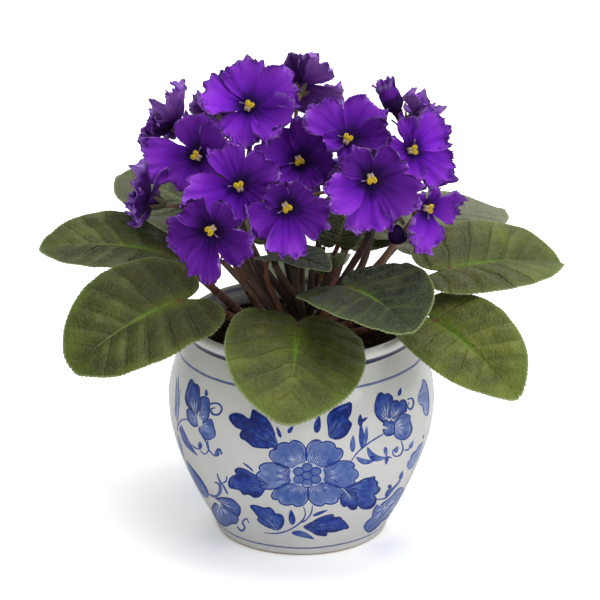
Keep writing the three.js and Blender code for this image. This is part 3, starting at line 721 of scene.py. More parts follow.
def bloomPoint(radius, angle):  # round the bloom's centre, squashed as it is seen, and shorter in the lower half
    centre = np.array(bloom["centre"], float)
    lower = 1 - bloom["shorter"] * soft(0.2, 0.9, -np.sin(angle))
    return centre + np.stack([radius * np.cos(angle), -radius * np.sin(angle) * bloom["squash"] * lower], -1)


def bloomShapes():
    # six petals, each from its ring of rays out to a scalloped edge, and seven round florets in the middle
    fills, lines = [], []
    reach, start, petals = bloom["reach"], bloom["start"], bloom["petals"]
    s, t = np.linspace(-1, 1, 33)[None, :], np.linspace(0, 1, 14)[:, None]
    across = np.concatenate([np.full(9, -1.0), s[0], np.full(9, 1.0)])
    out = np.concatenate([np.linspace(0.2, 0.95, 9), np.ones(33), np.linspace(0.95, 0.2, 9)])
    for petal in range(petals):
        middle = np.radians(360 * petal / petals + 2)
        scallop = 1 - 0.085 * (1 - np.abs(np.cos(np.pi * 0.5 * (bloom["scallops"] - 1) * s))) ** 1.4
        edge = reach * (1 - 0.2 * np.abs(s) ** 3.2) * scallop
        angle = middle + s * np.radians(28.4) * (1 - 0.06 * t)
        radius = start * reach + (edge - start * reach) * t
        shade = 0.56 - 0.54 * soft(0.52, 0.16, t) - 0.3 * soft(0.9, 0.97, t) * soft(0.95, 0.5, np.abs(s))
        fills.append((bloomPoint(radius, angle), shade + 0.08 * wander(petal, 2, t * 2, s)))
        rim = np.interp(across, s[0], edge[0])
        path = bloomPoint(start * reach + (rim - start * reach) * out, middle + across * np.radians(28.9))
        lines.append((path, 3.6, 0.92))
        for ray in np.linspace(-0.88, 0.88, 12):
            far = 0.55 + 0.08 * np.cos(9 * ray + petal)
            line = bloomPoint(np.linspace(0.34, far, 4) * reach, middle + ray * np.radians(27) + 0 * np.arange(4))
            lines.append((line, 2.3, 0.85))
    t, turn = np.linspace(0.05, 1, 4)[:, None], np.linspace(0, 2 * np.pi, 19)[None, :]
    for floret in range(petals + 1):
        around = np.radians(360 / petals * floret + 30)
        offset = (0 if floret == petals else 50) * np.array([np.cos(around), -0.8 * np.sin(around)])
        disc = np.array(bloom["centre"], float) + offset
        ring = np.stack([26 * np.cos(turn), -21 * np.sin(turn)], -1)
        fills.append((disc + t[..., None] * ring, 0.52 + 0.1 * t + 0 * turn))
        lines.append(((disc + ring)[0], 2.8, 0.9))
    return fills, lines


def paintMaterial(plan):
    material, tree, shader = newMaterial(
        "cobaltPaint", IOR=1.5, Coat_Weight=0.2, Coat_Roughness=0.04, Specular_IOR_Level=0.25)
    broad, fine = patches(tree, glaze["patch"], glaze["grain"])
    tone = plus(channelOf(tree, "tone"), times(minus(fine, 0.5), 0.55))
    feed(shader, Base_Color=ramp(tone, *plan["blues"]), Roughness=plus(times(fine, 0.1), 0.1))
    emboss(shader, times(broad, 0.5), 5.0, 0.035, 0.5)
    return material


def buildPainting():
    fills, lines = bloomShapes()
    for fan in brushFans:
        fill, strokes = brushFan(*fan)
        fills.append(fill)
        lines += strokes
    sheets = [(*brushLeaf(*leaf), 0) for leaf in brushLeaves] + [(*fill, 0) for fill in fills]
    sheets += [(*brushLine(*line), 1) for line in brushLines]
    for path, half, tone in lines:
        sheets.append((ribbon(path, np.full((len(path), 1), half)), np.full((len(path), 3), tone), 1))
    frontal = len(sheets)
    sheets += [(*brushLeaf(*leaf), 0) for leaf in sprigLeaves] + [(*brushLine(*line), 1) for line in sprigLines]
    sides = {"painted_flowers": (1, []), "painted_flowers_rear": (-1, [])}  # the same flowers on the far side
    for place, (points, tone, layer) in enumerate(sheets):
        lift = sketch["proud"] + sketch["step"] * layer + sketch["stagger"] * (place % 40)
        # seen from outside, rows by columns may run either way, so the grid is turned where its area is negative
        down, across = points[1:, :-1] - points[:-1, :-1], points[:-1, 1:] - points[:-1, :-1]
        if (down[..., 0] * across[..., 1] - down[..., 1] * across[..., 0]).sum() > 0:
            points, tone = points[:, ::-1], tone[:, ::-1]
        front, back = onPot(points, lift), onPot(points, lift - sketch["depth"])
        if place >= frontal:  # a quarter turn
            front, back = (sheet[..., [1, 0, 2]] * (-1, 1, 1) for sheet in (front, back))
        for side, parts in sides.values():
            turnAbout = np.array([side, side, 1.0])
            parts.append(slab(*(withChannels(thrown(sheet * turnAbout), tone) for sheet in (front, back))))
    paint = paintMaterial(sketch)
    for name, (side, parts) in sides.items():
        makePiece(name, [(paint, *gather(parts))], ("tone",), [])


buildPainting()
print("painting ready")

# Soil
soil = {
    "edge": 105.0, "slope": (40, 105.5), "crest": 106.0, "gap": 0.4, "pocket": 13.3, "pocketFloor": 91.7,
    "bottom": ((0.5, 7.4), (20, 7.4), (38.1, 7.4)), "sides": 180, "rows": 44, "lumps": 0.9,
    "crumbs": 1500, "crumbsFrom": 16, "crumbSize": (0.5, 1.5), "crumbRise": 0.25, "paleShare": 0.035, "seed": 11,
}


def soilMaterial():
    material, tree, shader = newMaterial("peat", Roughness=0.95, Specular_IOR_Level=0.15)
    broad, fine = patches(tree, 9.0, 1.2)
    earth = ramp(fine, (0.3, "0e0906"), (0.52, "22160f"), (0.7, "3d2a1c"), (0.85, "5b4431"))
    colour = blend(0.4, earth, ramp(broad, (0.4, "1c120c"), (0.7, "3a2016")))
    colour = blend(step(0.5, 0.9, channelOf(tree, "pale")), colour, tint("b9b3a6"))
    feed(shader, Base_Color=colour)
    emboss(shader, times(fine, 0.6), 0.5, 0.35)
    return material


def crumbs(plan, edge, radius, height):
    # a six-cornered lump for each crumb, stretched and turned at random, half sunk in the soil
    dice = np.random.default_rng(plan["seed"])
    count = plan["crumbs"]
    far = np.sqrt(dice.uniform(plan["crumbsFrom"] ** 2, (edge - 1.5) ** 2, count))
    around = dice.uniform(0, 2 * np.pi, count)
    rise = np.interp(far, radius[::-1], height[::-1]) + plan["crumbRise"]
    at = np.stack([far * np.cos(around), far * np.sin(around), rise], -1)
    corners = np.array([(1, 0, 0), (0, 1, 0), (-1, 0, 0), (0, -1, 0), (0, 0, 1), (0, 0, -1)], float)
    size = dice.uniform(*plan["crumbSize"], (count, 1, 1)) * dice.uniform(0.6, 1.3, (count, 6, 1))
    spin = np.linalg.qr(dice.normal(0, 1, (count, 3, 3)))[0]
    spin *= np.sign(np.linalg.det(spin))[:, None, None]
    pale = (dice.uniform(0, 1, count) < plan["paleShare"])[:, None, None] * np.ones((count, 6, 1))
    points = np.concatenate([at[:, None] + (corners * size) @ spin, pale], -1).reshape(-1, 4)
    sides = np.array([(0, 1, 4), (1, 2, 4), (2, 3, 4), (3, 0, 4), (1, 0, 5), (2, 1, 5), (3, 2, 5), (0, 3, 5)])
    return points, [(6 * np.arange(count)[:, None, None] + sides).reshape(-1, 3)]


def buildSoil(plan):
    # the pot's inside wall a gap inwards, then a lumpy top sloping up to the crown, and the pocket for its foot
    inside = potInside[::-1]
    wall = inside - np.array([plan["gap"], 0])
    wall = wall[wall[:, 1] < plan["edge"] - 0.5]
    edge = np.interp(plan["edge"], inside[-24:, 1], inside[-24:, 0]) - plan["gap"]
    t = np.linspace(0, 1, plan["rows"])
    pocket, (slopeRadius, slopeHeight) = plan["pocket"], plan["slope"]
    radius = edge + (pocket - edge) * t
    height = np.interp(radius, [pocket, slopeRadius, edge], [plan["crest"], slopeHeight, plan["edge"]])
    foot = np.array([(pocket, 100), (pocket, plan["pocketFloor"]), (plan["bottom"][0][0], plan["pocketFloor"])])
    profile = [np.array(plan["bottom"]), wall, np.stack([radius, height], -1), foot]
    grid = turned(np.concatenate(profile), plan["sides"])
    hidden = np.zeros(len(plan["bottom"]) + len(wall))
    shown = np.concatenate([hidden, soft(0, 0.08, t) * soft(1, 0.94, t), np.zeros(len(foot))])[:, None]
    x, y = grid[..., 0], grid[..., 1]
    lumps = 0.6 * wander(1, 0.35, x, y) + 0.5 * wander(2, 0.9, x, y) + 0.35 * wander(3, 2.2, x, y)
    grid[..., 2] += plan["lumps"] * shown * lumps
    whole = gather([loft(withChannels(grid, 0.0)), crumbs(plan, edge, radius, height)])
    makePiece("peat_soil", [(soilMaterial(), *whole)], ("pale",), ["potting_soil"])


buildSoil(soil)
print("soil ready")

# The crown, where all the stems start
crown = {
    "radius": 13.0, "footRadius": 12.5, "foot": 92.0, "leaves": 109.5, "shoulder": 111.0, "dome": 9.3, "sides": 64,
    "clearance": 0.3, "scars": 7, "scarDepth": 0.25,
}


def crownRoot(azimuth, lift):  # where a stem leaves the crown and the way it starts; lift 90 is the top
    turn = np.radians(lift)
    out = heading(azimuth, 0)
    normal = out * np.cos(turn) / crown["radius"]
    normal[2] = np.sin(turn) / crown["dome"]
    normal = unit(normal)
    at = out * crown["radius"] * np.cos(turn)
    at[2] = crown["shoulder"] + crown["dome"] * np.sin(turn) if lift > 0 else crown["leaves"]
    return at + crown["clearance"] * normal, normal


def stemMaterial():
    material, tree, shader = newMaterial(
        "stemSkin", Specular_IOR_Level=0.35, Sheen_Weight=0.35, Sheen_Roughness=0.4, Sheen_Tint=tint("d8cfc4"))
    broad, fine = patches(tree, 11.0, 0.9)
    red = ramp(broad, (0.3, "1c0f0e"), (0.55, "331d1c"), (0.75, "4a2b28"))
    pale = ramp(broad, (0.3, "7a5540"), (0.6, "a58060"), (0.8, "c09a76"))
    colour = over(blend(channelOf(tree, "green"), red, pale), fine, 0.2, "7a6458")
    colour = blend(channelOf(tree, "leafy"), colour, ramp(fine, (0.3, "2e2a1c"), (0.7, "4f5030")))
    feed(shader, Base_Color=colour, Roughness=plus(times(fine, 0.25), 0.42))
    emboss(shader, times(fine, 0.15), 0.6, 0.12)
    return material


def hairMaterial(name, low, high):
    material, tree, shader = newMaterial(name, Roughness=0.5, Specular_IOR_Level=0.4)
    feed(shader, Base_Color=ramp(patches(tree, 15.0, 3.0)[0], (0.3, low), (0.7, high)))
    return material


stemSkin = stemMaterial()
stemHair = hairMaterial("stemHair", "4e3c34", "8a786a")
leafHair = hairMaterial("leafHair", "77834f", "a9af86")


def buildCrown(plan):  # a dome on a stub, with rings of old leaf scars
    foot, shoulder = plan["foot"], plan["shoulder"]
    turn = np.linspace(0, np.pi / 2 - 0.03, 14)
    dome = np.stack([plan["radius"] * np.cos(turn), shoulder + plan["dome"] * np.sin(turn)], -1)
    side = np.stack([np.linspace(plan["footRadius"], plan["radius"], 12), np.linspace(foot, shoulder, 12)], -1)
    grid = turned(np.concatenate([[(0.5, foot)], side, dome[1:]]), plan["sides"])
    around, height = np.arctan2(grid[..., 1], grid[..., 0]), grid[..., 2]
    scars = plan["scarDepth"] * np.abs(np.sin(around * plan["scars"] + height * 0.8))
    scars = scars * soft(93, 97, height) * soft(120.2, 118, height)
    grid[..., :2] *= (1 - scars / plan["radius"])[..., None]
    makePiece("crown", [(stemSkin, *loft(withChannels(grid, 0.3, 0.4)))], ("green", "leafy"), ["crown_stem"])


buildCrown(crown)
print("crown ready")

# Old flower stalks and the petioles of leaves just opening, in the heart of the plant: the way and lift that they
# leave the crown, the points that they pass and end at, and how green they are
heartStems = {
    "sides": 10, "rows": 34, "radius": (2.1, 1.55), "hairs": 230, "hair": (1.1, 0.05),
    "leaflet": 5.0, "leafletWidth": 1.9,
    "ways": (
        ((252, 50), (-9, -13, 132), (-22, -24, 153), 0.0), ((238, 62), (-11, -9, 134), (-27, -12, 158), 0.15),
        ((262, 68), (-5, -12, 134), (-14, -19, 151), 0.3), ((283, 66), (4, -12, 131), (5, -22, 149), 0.0),
        ((200, 66), (-9, -3, 134), (-18, -6, 157), 0.1), ((308, 60), (10, -11, 132), (17, -19, 150), 0.2),
        ((150, 72), (-6, 4, 136), (-11, 4, 158), 0.0), ((322, 74), (7, -5, 137), (11, -10, 157), 0.1),
        ((30, 72), (6, 5, 137), (10, 8, 159), 0.0), ((225, 78), (-4, -6, 137), (-7, -11, 158), 0.25),
        ((214, 48), (-20, -17, 131), (-40, -31, 157), 0.35), ((236, 42), (-17, -20, 131), (-32, -30, 158), 0.12),
        ((272, 52), (-1, -17, 131), (-4, -27, 149), 0.1),
    ),
}


def leafletSlab(tip, angle, out, forward, channels):  # a thin leaflet, and its inner side a wall further in
    outer = withChannels(flowerPoint(tip, angle, out, forward), *channels)
    inner = withChannels(flowerPoint(tip, angle, out - 0.35, forward + 0.1), *channels)
    return slab(outer[:, ::-1], inner[:, ::-1])


def buildHeartStems(plan):
    # tubes that thin a little upwards, each closed by two folded leaflets: an outline of a sine's arch, bulging out
    parts, fuzz = [], []
    rows = plan["rows"]
    for place, (root, way, end, green) in enumerate(plan["ways"]):
        dice = np.random.default_rng(900 + place)
        start, normal = crownRoot(*root)
        path = smoothCurve([start - normal, start + 3 * normal, way, end], rows)
        radii = np.linspace(*plan["radius"], rows) * (1 + 0.05 * wander(place + 60, 7, np.linspace(0, 1, rows)))
        grid = tubeGrid(path, radii, plan["sides"])
        parts.append(loft(withChannels(grid, green, 0.0)))
        roots, ways = pickHairs(grid, unit(grid - path[:, None]), plan["hairs"], dice)
        fuzz.append(hairs(roots, ways, *plan["hair"], place + 70, 2))
        t, s = np.linspace(0, 1, 12)[:, None], np.linspace(-1, 1, 7)[None, :]
        tip = dict(at=tuple(path[-1]), facing=(200 + 50 * place, 70))
        width = plan["leafletWidth"] * np.sin(np.pi * (0.12 + 0.86 * t)) ** 0.8
        out = 0.5 + 1.2 * np.sin(np.pi * t * 0.9) + 0.35 * s ** 2
        for half in (0, 1):
            angle = np.pi * half + s * width / 2.0
            parts.append(leafletSlab(tip, angle, out, plan["leaflet"] * t - 0.8, (0.3, 1.0)))
    layers = [(stemSkin, *gather(parts)), (stemHair, *gather(fuzz))]
    makePiece("heart_stems", layers, ("green", "leafy"), [])


# Leaves: the joint of blade and petiole, where the midrib heads, its roll, the blade's length, width and bends, and
# where its petiole leaves the crown. Then how far the green turns from olive towards blue, which also deepens the
# painted shade in the hollows and, past 0.95, darkens the whole leaf as painted shade; how much painted light shines
# through the rim; how strong a painted pale sheen lies on the upper side; and how much painted sunlight makes the leaf
# lighter and warmer.
leafColumns = "joint heading roll length width droop fold curl root cool glow frost sun".split()
leafRows = {
    "leaf_front_left": ((-62, -34, 136), (216, -2), -27, 64, 0.86, 50, 15, -15, (209, 0), 0.0, 0.8, 0.0, 0.0),
    "leaf_front": ((-2, -52, 130), (269, -2), -9, 65, 0.94, 49, 1, -10, (264, 0), 0.05, 0.9, 0.0, 0.2),
    "leaf_front_right": ((23, -45, 148), (297, 12), 9, 61, 0.87, 29, 8, 1, (289, 8), 1.0, 0.25, 0.0, 0.0),
    "leaf_right_low": ((68, -38, 127), (297, 2), 19, 70, 0.64, 36, 18, -18, (326, 0), 0.0, 1.0, 0.0, 0.62),
    "leaf_right_high": ((76, -4, 143), (15, 9), 12, 60, 1.01, 22, 23, -29, (357, 0), 0.05, 0.8, 0.0, 0.24),
    "leaf_far_left": ((-72, 15, 145), (181, 17), -8, 63, 0.9, 27, 4, 2, (175, 0), 0.08, 0.5, 0.0, 0.0),
    "leaf_back_right": ((57, 38, 149), (36.5, 16), 4, 60, 0.93, 29.5, 4.5, -5, (30, 0), 0.4, 0.4, 0.45, 0.0),
    "leaf_back_left": ((-50, 38, 157), (148, 28.5), -10, 55.5, 0.95, 26, 5, -5, (148, 0), 0.4, 0.4, 0.2, 0.0),
    "leaf_rear_right": ((27, 54, 142), (66, 14), 5, 58, 0.9, 40, 10, -8, (60, 0), 0.2, 0.6, 0.0, 0.0),
    "leaf_rear": ((-4, 55, 128), (92, -18), -4, 56, 0.98, 34, 6, -8, (90, 0), 0.1, 0.8, 0.0, 0.0),
    "leaf_rear_left": ((-30, 52, 143), (117, 14), -6, 56, 0.9, 38, 10, -6, (120, 0), 0.2, 0.6, 0.0, 0.0),
    "young_leaf_front": ((-13, -28, 159), (328, 11), 0, 31, 0.85, 30, 8, 0, (247, 22), 1.15, 0.2, 0.0, 0.0),
    "young_leaf_right": ((13.5, -10, 145), (282, 52), 10, 17, 0.95, 20, 16, 0, (345, 66), 0.9, 0.2, 0.0, 0.0),
    "young_leaf_upright": ((20, 3, 159), (60, 62), 0, 27, 0.95, 16, 14, 0, (60, 62), 0.9, 0.2, 0.0, 0.0),
}
leaves = {name: dict(zip(leafColumns, row)) for name, row in leafRows.items()}
leafChannels = ("part", "across", "share", "under", "cool", "glow", "stalk", "frost", "sun")
blade = {
    "columns": 300, "rowsAbove": 26, "rowsBelow": 10, "veins": 6.4, "veinSlope": 0.2, "veinFan": 0.95,
    "toothDepth": 0.012, "swell": 0.012, "grooveDepth": 0.55, "grooveWidth": 1.3, "youngBelow": 50, "usualLength": 62,
    "grown": {"thickness": 1.0, "quilt": 2.2, "tooth": 2.6, "ripple": (0.8, 0.35), "petiole": 2.2},
    "young": {"thickness": 0.6, "quilt": 0.6, "tooth": 1.56, "ripple": (0.3, 0.1), "petiole": 1.35},
    "edgeHairs": (560, 1.0, 0.055), "faceHairs": (900, 0.75, 0.045), "petioleHairs": (260, 1.2, 0.055),
}


def leafOutline(angle):  # an oval with a short tip and a notch at the petiole, as a share of the length
    oval = 0.57 + 0.34 * np.cos(angle) + 0.04 * np.cos(2 * angle) + 0.05 * np.cos(3 * angle)
    notch = 1 - 0.88 * np.exp(-((np.pi - np.abs(angle)) / np.radians(13)) ** 2)
    return oval * notch + 0.05 * np.exp(-(angle / np.radians(11)) ** 2)


def leafAxes(leaf):
    along = heading(*leaf["heading"])
    level = heading(leaf["heading"][0] + 90, 0)
    turn = np.radians(leaf["roll"])
    left = level * np.cos(turn) + np.cross(along, level) * np.sin(turn)
    return along, left, np.cross(along, left)


def leafAge(leaf):
    return blade["young" if leaf["length"] < blade["youngBelow"] else "grown"]


def bladePoint(leaf, run, across, lift):
    # the midrib bends down evenly as it runs out, the sides lean up off it, and lift is measured off that sheet
    along, left, up = leafAxes(leaf)
    bend = np.radians(leaf["droop"]) / leaf["length"]
    turn = bend * np.maximum(run, 0)
    halfWidth = 0.58 * leaf["length"] * leaf["width"]
    lean = np.radians(leaf["fold"]) + np.radians(leaf["curl"]) * np.abs(across) / halfWidth / 2
    raised = np.abs(across) * np.sin(lean) + lift
    forward = np.where(run > 0, np.sin(turn) / bend, run) + raised * np.sin(turn)
    rise = (np.cos(turn) - 1) / bend + raised * np.cos(turn)
    sheet = forward[..., None] * along + rise[..., None] * up + (across * np.cos(lean))[..., None] * left
    return np.array(leaf["joint"], float) + sheet


def veinPhase(share, side):  # whole numbers lie on the side veins, which fan forwards as they leave the midrib
    return blade["veins"] * (share - blade["veinSlope"] * side) / (1 + blade["veinFan"] * side)


def bladeGrid(leaf, plan, seed):
    # Rows run out over the upper face and back under the lower one, each the toothed outline times a share. The
    # sheet is pushed up between the side veins as a sine, broken by cross pleats, and down along the midrib
    age = leafAge(leaf)
    angle = np.linspace(0, 2 * np.pi, plan["columns"], endpoint=False)[None, :]
    angle = (angle + np.pi) % (2 * np.pi) - np.pi
    above = np.concatenate([np.linspace(0.015, 0.92, plan["rowsAbove"] - 5), [0.95, 0.972, 0.988, 0.997, 1.0]])
    below = np.linspace(1.0, 0.015, plan["rowsBelow"] + 1)
    share = np.concatenate([above, below])[:, None]
    face = np.concatenate([np.ones(len(above)), -np.ones(len(below))])[:, None]
    outline = leafOutline(angle)
    # teeth: rounded, a few millimetres apart along the edge
    edgeX, edgeY = leaf["length"] * outline * np.cos(angle), leaf["length"] * outline * leaf["width"] * np.sin(angle)
    pieces = np.hypot(np.diff(edgeX, append=edgeX[:, :1]), np.diff(edgeY, append=edgeY[:, :1]))
    gone = np.cumsum(pieces, axis=1)
    cycle = gone / gone[0, -1] * round(gone[0, -1] / age["tooth"])
    cycle = cycle + 0.25 * wander(seed, 3, np.cos(angle), np.sin(angle))
    teeth = plan["toothDepth"] * (np.abs(np.sin(np.pi * cycle)) - 0.6)
    swell = plan["swell"] * wander(seed + 1, 2.5, np.cos(angle), np.sin(angle))
    edge = outline + (teeth + swell) * soft(0.25, 0.5, outline) * soft(0.8, 1, share)
    reach = leaf["length"] * edge * share
    run, across = reach * np.cos(angle), reach * np.sin(angle) * leaf["width"]
    part, aside = run / leaf["length"], across / leaf["length"]
    side = np.abs(aside)
    phase = veinPhase(part, side) + 0.12 * wander(seed + 2, 5, part, aside)
    puff = np.abs(np.sin(np.pi * phase)) ** 0.9 * (0.8 + 0.35 * wander(seed + 5, 9, part, aside))
    cross = 0.52 + 0.48 * np.abs(np.sin(np.pi * (side * 9 + 2.3 * np.floor(phase) * 0.37 + 0.3 * phase))) ** 0.6
    fromRib = soft(0.0, 0.09, side) * soft(0.0, 0.5, share)
    quilt = age["quilt"] * (puff * cross - 0.45) * fromRib * (0.25 + 0.75 * soft(1.0, 0.8, share))
    quilt = quilt * (0.3 + 0.7 * soft(0.96, 0.5, part))  # calmer towards the tip
    groove = np.exp(-(side * leaf["length"] / plan["grooveWidth"]) ** 2) * soft(-0.02, 0.1, part) * soft(1.0, 0.6, part)
    groove = -plan["grooveDepth"] * groove
    slow, fast = age["ripple"]
    ripple = slow * share ** 3 * wander(seed + 3, 3, np.cos(angle) * 1.4, np.sin(angle) * 1.4)
    ripple = ripple + fast * share ** 2 * wander(seed + 6, 16, part, aside)
    thick = age["thickness"] / 2 * np.sqrt(np.maximum(1 - share ** 6 * 0.97, 0.0))
    lift = np.where(face > 0, quilt + groove, 0.55 * quilt + groove * 0.4) + ripple + face * thick + 0.1
    looks = (leaf["cool"], leaf["glow"], 0.0, leaf["frost"], leaf["sun"])
    points = bladePoint(leaf, run, across, lift)
    return withChannels(points, part, aside, share, (1 - face) / 2, *looks), len(above)


def petioleGrid(leaf):
    # the stalk of a leaf: out of the crown, over in one bend, and on under the blade as its tapering midrib
    radius = leafAge(leaf)["petiole"]
    start, normal = crownRoot(*leaf["root"])
    along, left, up = leafAxes(leaf)
    joint = np.array(leaf["joint"], float) + up * (0.4 - radius * 0.75)
    span = np.linalg.norm(joint - start)
    path = bezier(start, start + normal * span * 0.3, joint - along * span * 0.35, joint, 26)
    path[:3] = start + normal * np.linspace(0, 2.2, 3)[:, None]
    run = np.linspace(2, leaf["length"] * 0.8, 20)
    part = run / leaf["length"]
    taper = radius * np.clip(1 - part / 0.85, 0.05, 1) ** 0.8
    rib = bladePoint(leaf, run, 0 * run, -0.25 - taper * 0.75)
    whole = np.concatenate([path, rib])
    radii = np.concatenate([radius * np.linspace(1.06, 0.92, len(path)), taper])
    grid = tubeGrid(whole, radii, 12)
    place = np.concatenate([np.linspace(-1, 0, len(path)), part])[:, None]
    looks = (0.0, 0.3, 1.0, leaf["cool"], leaf["glow"], 1.0, 0.0, 0.0)
    return withChannels(grid, place, *looks), grid - whole[:, None]


def webbed(tree, scale, outer, inner):  # the thin walls between cells
    inputs = {"Vector": objectPlace(tree), "Scale": scale}
    cells = addNode(tree, "ShaderNodeTexVoronoi", inputs, feature="DISTANCE_TO_EDGE").outputs[0]
    return step(outer, inner, cells)


def leafMaterial():
    material, tree, shader = newMaterial(
        "velvetLeaf", Specular_IOR_Level=0.38, Sheen_Weight=0.05, Sheen_Roughness=0.4, Sheen_Tint=tint("c8cc80"))
    broad, fine = patches(tree, 16.0, 1.3)
    part, across, share, under, cool, glow, stalk, frost, sun = (channelOf(tree, name) for name in leafChannels)
    side = calc("ABSOLUTE", across)
    waver = times(minus(broad, 0.5), 0.5)
    # the side veins lie as veinPhase puts them
    fan = plus(times(side, blade["veinFan"]), 1.0)
    phase = times(calc("DIVIDE", minus(part, times(side, blade["veinSlope"])), fan), blade["veins"])
    phase = plus(phase, waver)
    wave = calc("ABSOLUTE", calc("SINE", times(phase, float(np.pi))))
    vein, calm = step(0.42, 0.02, wave), step(1.0, 0.55, part)
    faded = times(vein, plus(times(calm, 0.65), 0.35))
    netting, seams = webbed(tree, 420.0, 0.16, 0.02), webbed(tree, 210.0, 0.13, 0.01)
    olive = ramp(broad, (0.25, "31360a"), (0.5, "4e5413"), (0.75, "6c7220"))
    # the lighter, warmer green is painted sunlight, laid on by each leaf's share of it
    paintedLitGreen = ramp(broad, (0.25, "5e681a"), (0.5, "828c28"), (0.75, "9ea83c"))
    blue = ramp(broad, (0.25, "16240c"), (0.5, "273817"), (0.75, "3e5022"))
    colour = blend(sun, blend(cool, olive, blue), paintedLitGreen)
    # painted highlights on the pillows on one side of each vein and painted shade in the hollows on the other, standing
    # in for the light on the quilting
    veinSideLight = calc("SINE", times(phase, float(2 * np.pi)))
    paintedHighlight = times(step(0.1, 0.95, veinSideLight), step(0.3, 0.62, broad), calm)
    paintedShade = times(step(-0.1, -0.95, veinSideLight), step(0.7, 0.4, broad))
    paintedShadeStrength = times(plus(times(cool, 0.5), 0.22), step(0.92, 0.5, part))
    colour = over(colour, paintedHighlight, 0.22, "98a258")
    colour = blend(times(paintedShade, paintedShadeStrength), colour, blend(cool, tint("28320f"), tint("141f10")))
    # darker brown towards the joint: partly the leaf's own brown and partly painted shade under the flowers
    colour = over(colour, times(step(0.6, 0.05, part), step(0.3, 0.6, broad)), 0.5, "352a12")
    # the side veins and the finer seams darker: partly their own colour and partly painted shade in their grooves
    colour = over(colour, faded, 0.26, "2b3512")
    colour = over(colour, seams, 0.08, "2a3414")
    colour = over(colour, times(step(0.16, 0.02, wave), step(0.62, 0.4, broad)), 0.2, "8b9768")
    colour = over(colour, netting, 0.11, "96a274")
    # pale specks: painted glints on the hairs
    colour = over(colour, step(0.58, 0.8, fine), 0.3, "a0a87c")
    # the bluest leaves, past 0.95, darkened all over: painted shade
    colour = over(colour, step(0.95, 1.15, cool), 0.85, "101a0c")
    # the rim, as painted light shining through it, the margin, the lime flush round the joint, partly its own colour
    # and partly the same painted shine-through, and the midrib, which runs from red through lime to grey green
    colour = over(colour, times(step(0.84, 1.02, plus(share, times(waver, 0.35))), glow), 0.6, "728a2c")
    colour = over(colour, step(0.975, 0.995, share), 0.7, "a9b77c")
    flush = times(step(0.13, 0.0, side), step(0.5, 0.12, part), glow)
    colour = over(colour, flush, 0.55, "789224")
    ribWidth = times(minus(0.95, part), 0.046)
    rib = times(step(ribWidth, times(ribWidth, 0.2), side), step(0.82, 0.3, part), step(-0.06, 0.0, part))
    lime = ramp(part, (0.0, "7a5a34"), (0.07, "728a2a"), (0.25, "6c9c1e"), (0.5, "7c9832"), (0.8, "86925c"))
    # a painted pale sheen over the upper side
    colour = over(blend(times(rib, 0.9), colour, lime), frost, 0.9, "b2b59a")
    belly = over(ramp(broad, (0.3, "6a7c4c"), (0.7, "87966a")), faded, 0.4, "a0a878")
    colour = blend(under, colour, belly)
    redder = ramp(broad, (0.3, "4a2a22"), (0.55, "744834"), (0.8, "96684a"))
    colour = blend(stalk, colour, blend(step(0.0, 0.5, part), redder, tint("8c9657")))
    feed(shader, Base_Color=colour, Roughness=plus(times(fine, 0.22), 0.32))
    height = plus(plus(times(faded, -0.55), times(netting, -0.16)), times(seams, -0.16))
    emboss(shader, plus(height, times(fine, 0.4)), 0.7, 0.22, 0.9)
    return material


def pickHairs(grid, normals, count, dice, rows=slice(None)):  # roots and ways at seeded places of a grid
    places, ways = grid[rows, :, :3].reshape(-1, 3), normals[rows].reshape(-1, 3)
    chosen = dice.integers(0, len(places), count)
    return places[chosen], ways[chosen]


def buildLeaves():
    skin = leafMaterial()
    extra = len(leafChannels)
    for number, (name, leaf) in enumerate(leaves.items()):
        dice = np.random.default_rng(100 + number)
        grid, rimRow = bladeGrid(leaf, blade, 10 * number)
        stalk, ways = petioleGrid(leaf)
        scale = leaf["length"] / blade["usualLength"]
        edge, out = grid[rimRow - 1, :, :3], unit(grid[rimRow - 1, :, :3] - grid[rimRow - 6, :, :3])
        count, *hair = blade["edgeHairs"]
        pick = dice.integers(0, len(edge), int(count * scale))
        fuzz = [hairs(edge[pick], out[pick] + 0.4 * dice.normal(0, 1, (len(pick), 3)), *hair, number, extra)]
        count, *hair = blade["faceHairs"]
        picked = pickHairs(grid, surfaceNormals(grid, True), int(count * scale ** 2), dice, slice(3, rimRow - 2))
        fuzz.append(hairs(*picked, *hair, number + 50, extra))
        count, *hair = blade["petioleHairs"]
        picked = pickHairs(stalk, unit(ways), int(count * scale), dice, slice(2, 26))
        fuzz.append(hairs(*picked, *hair, number + 90, extra))
        layers = [(skin, *gather([loft(grid), loft(stalk)])), (leafHair, *gather(fuzz))]
        makePiece(name.replace("leaf_", "blade_"), layers, leafChannels, [name])


buildLeaves()
print("leaves ready:", len(leaves))

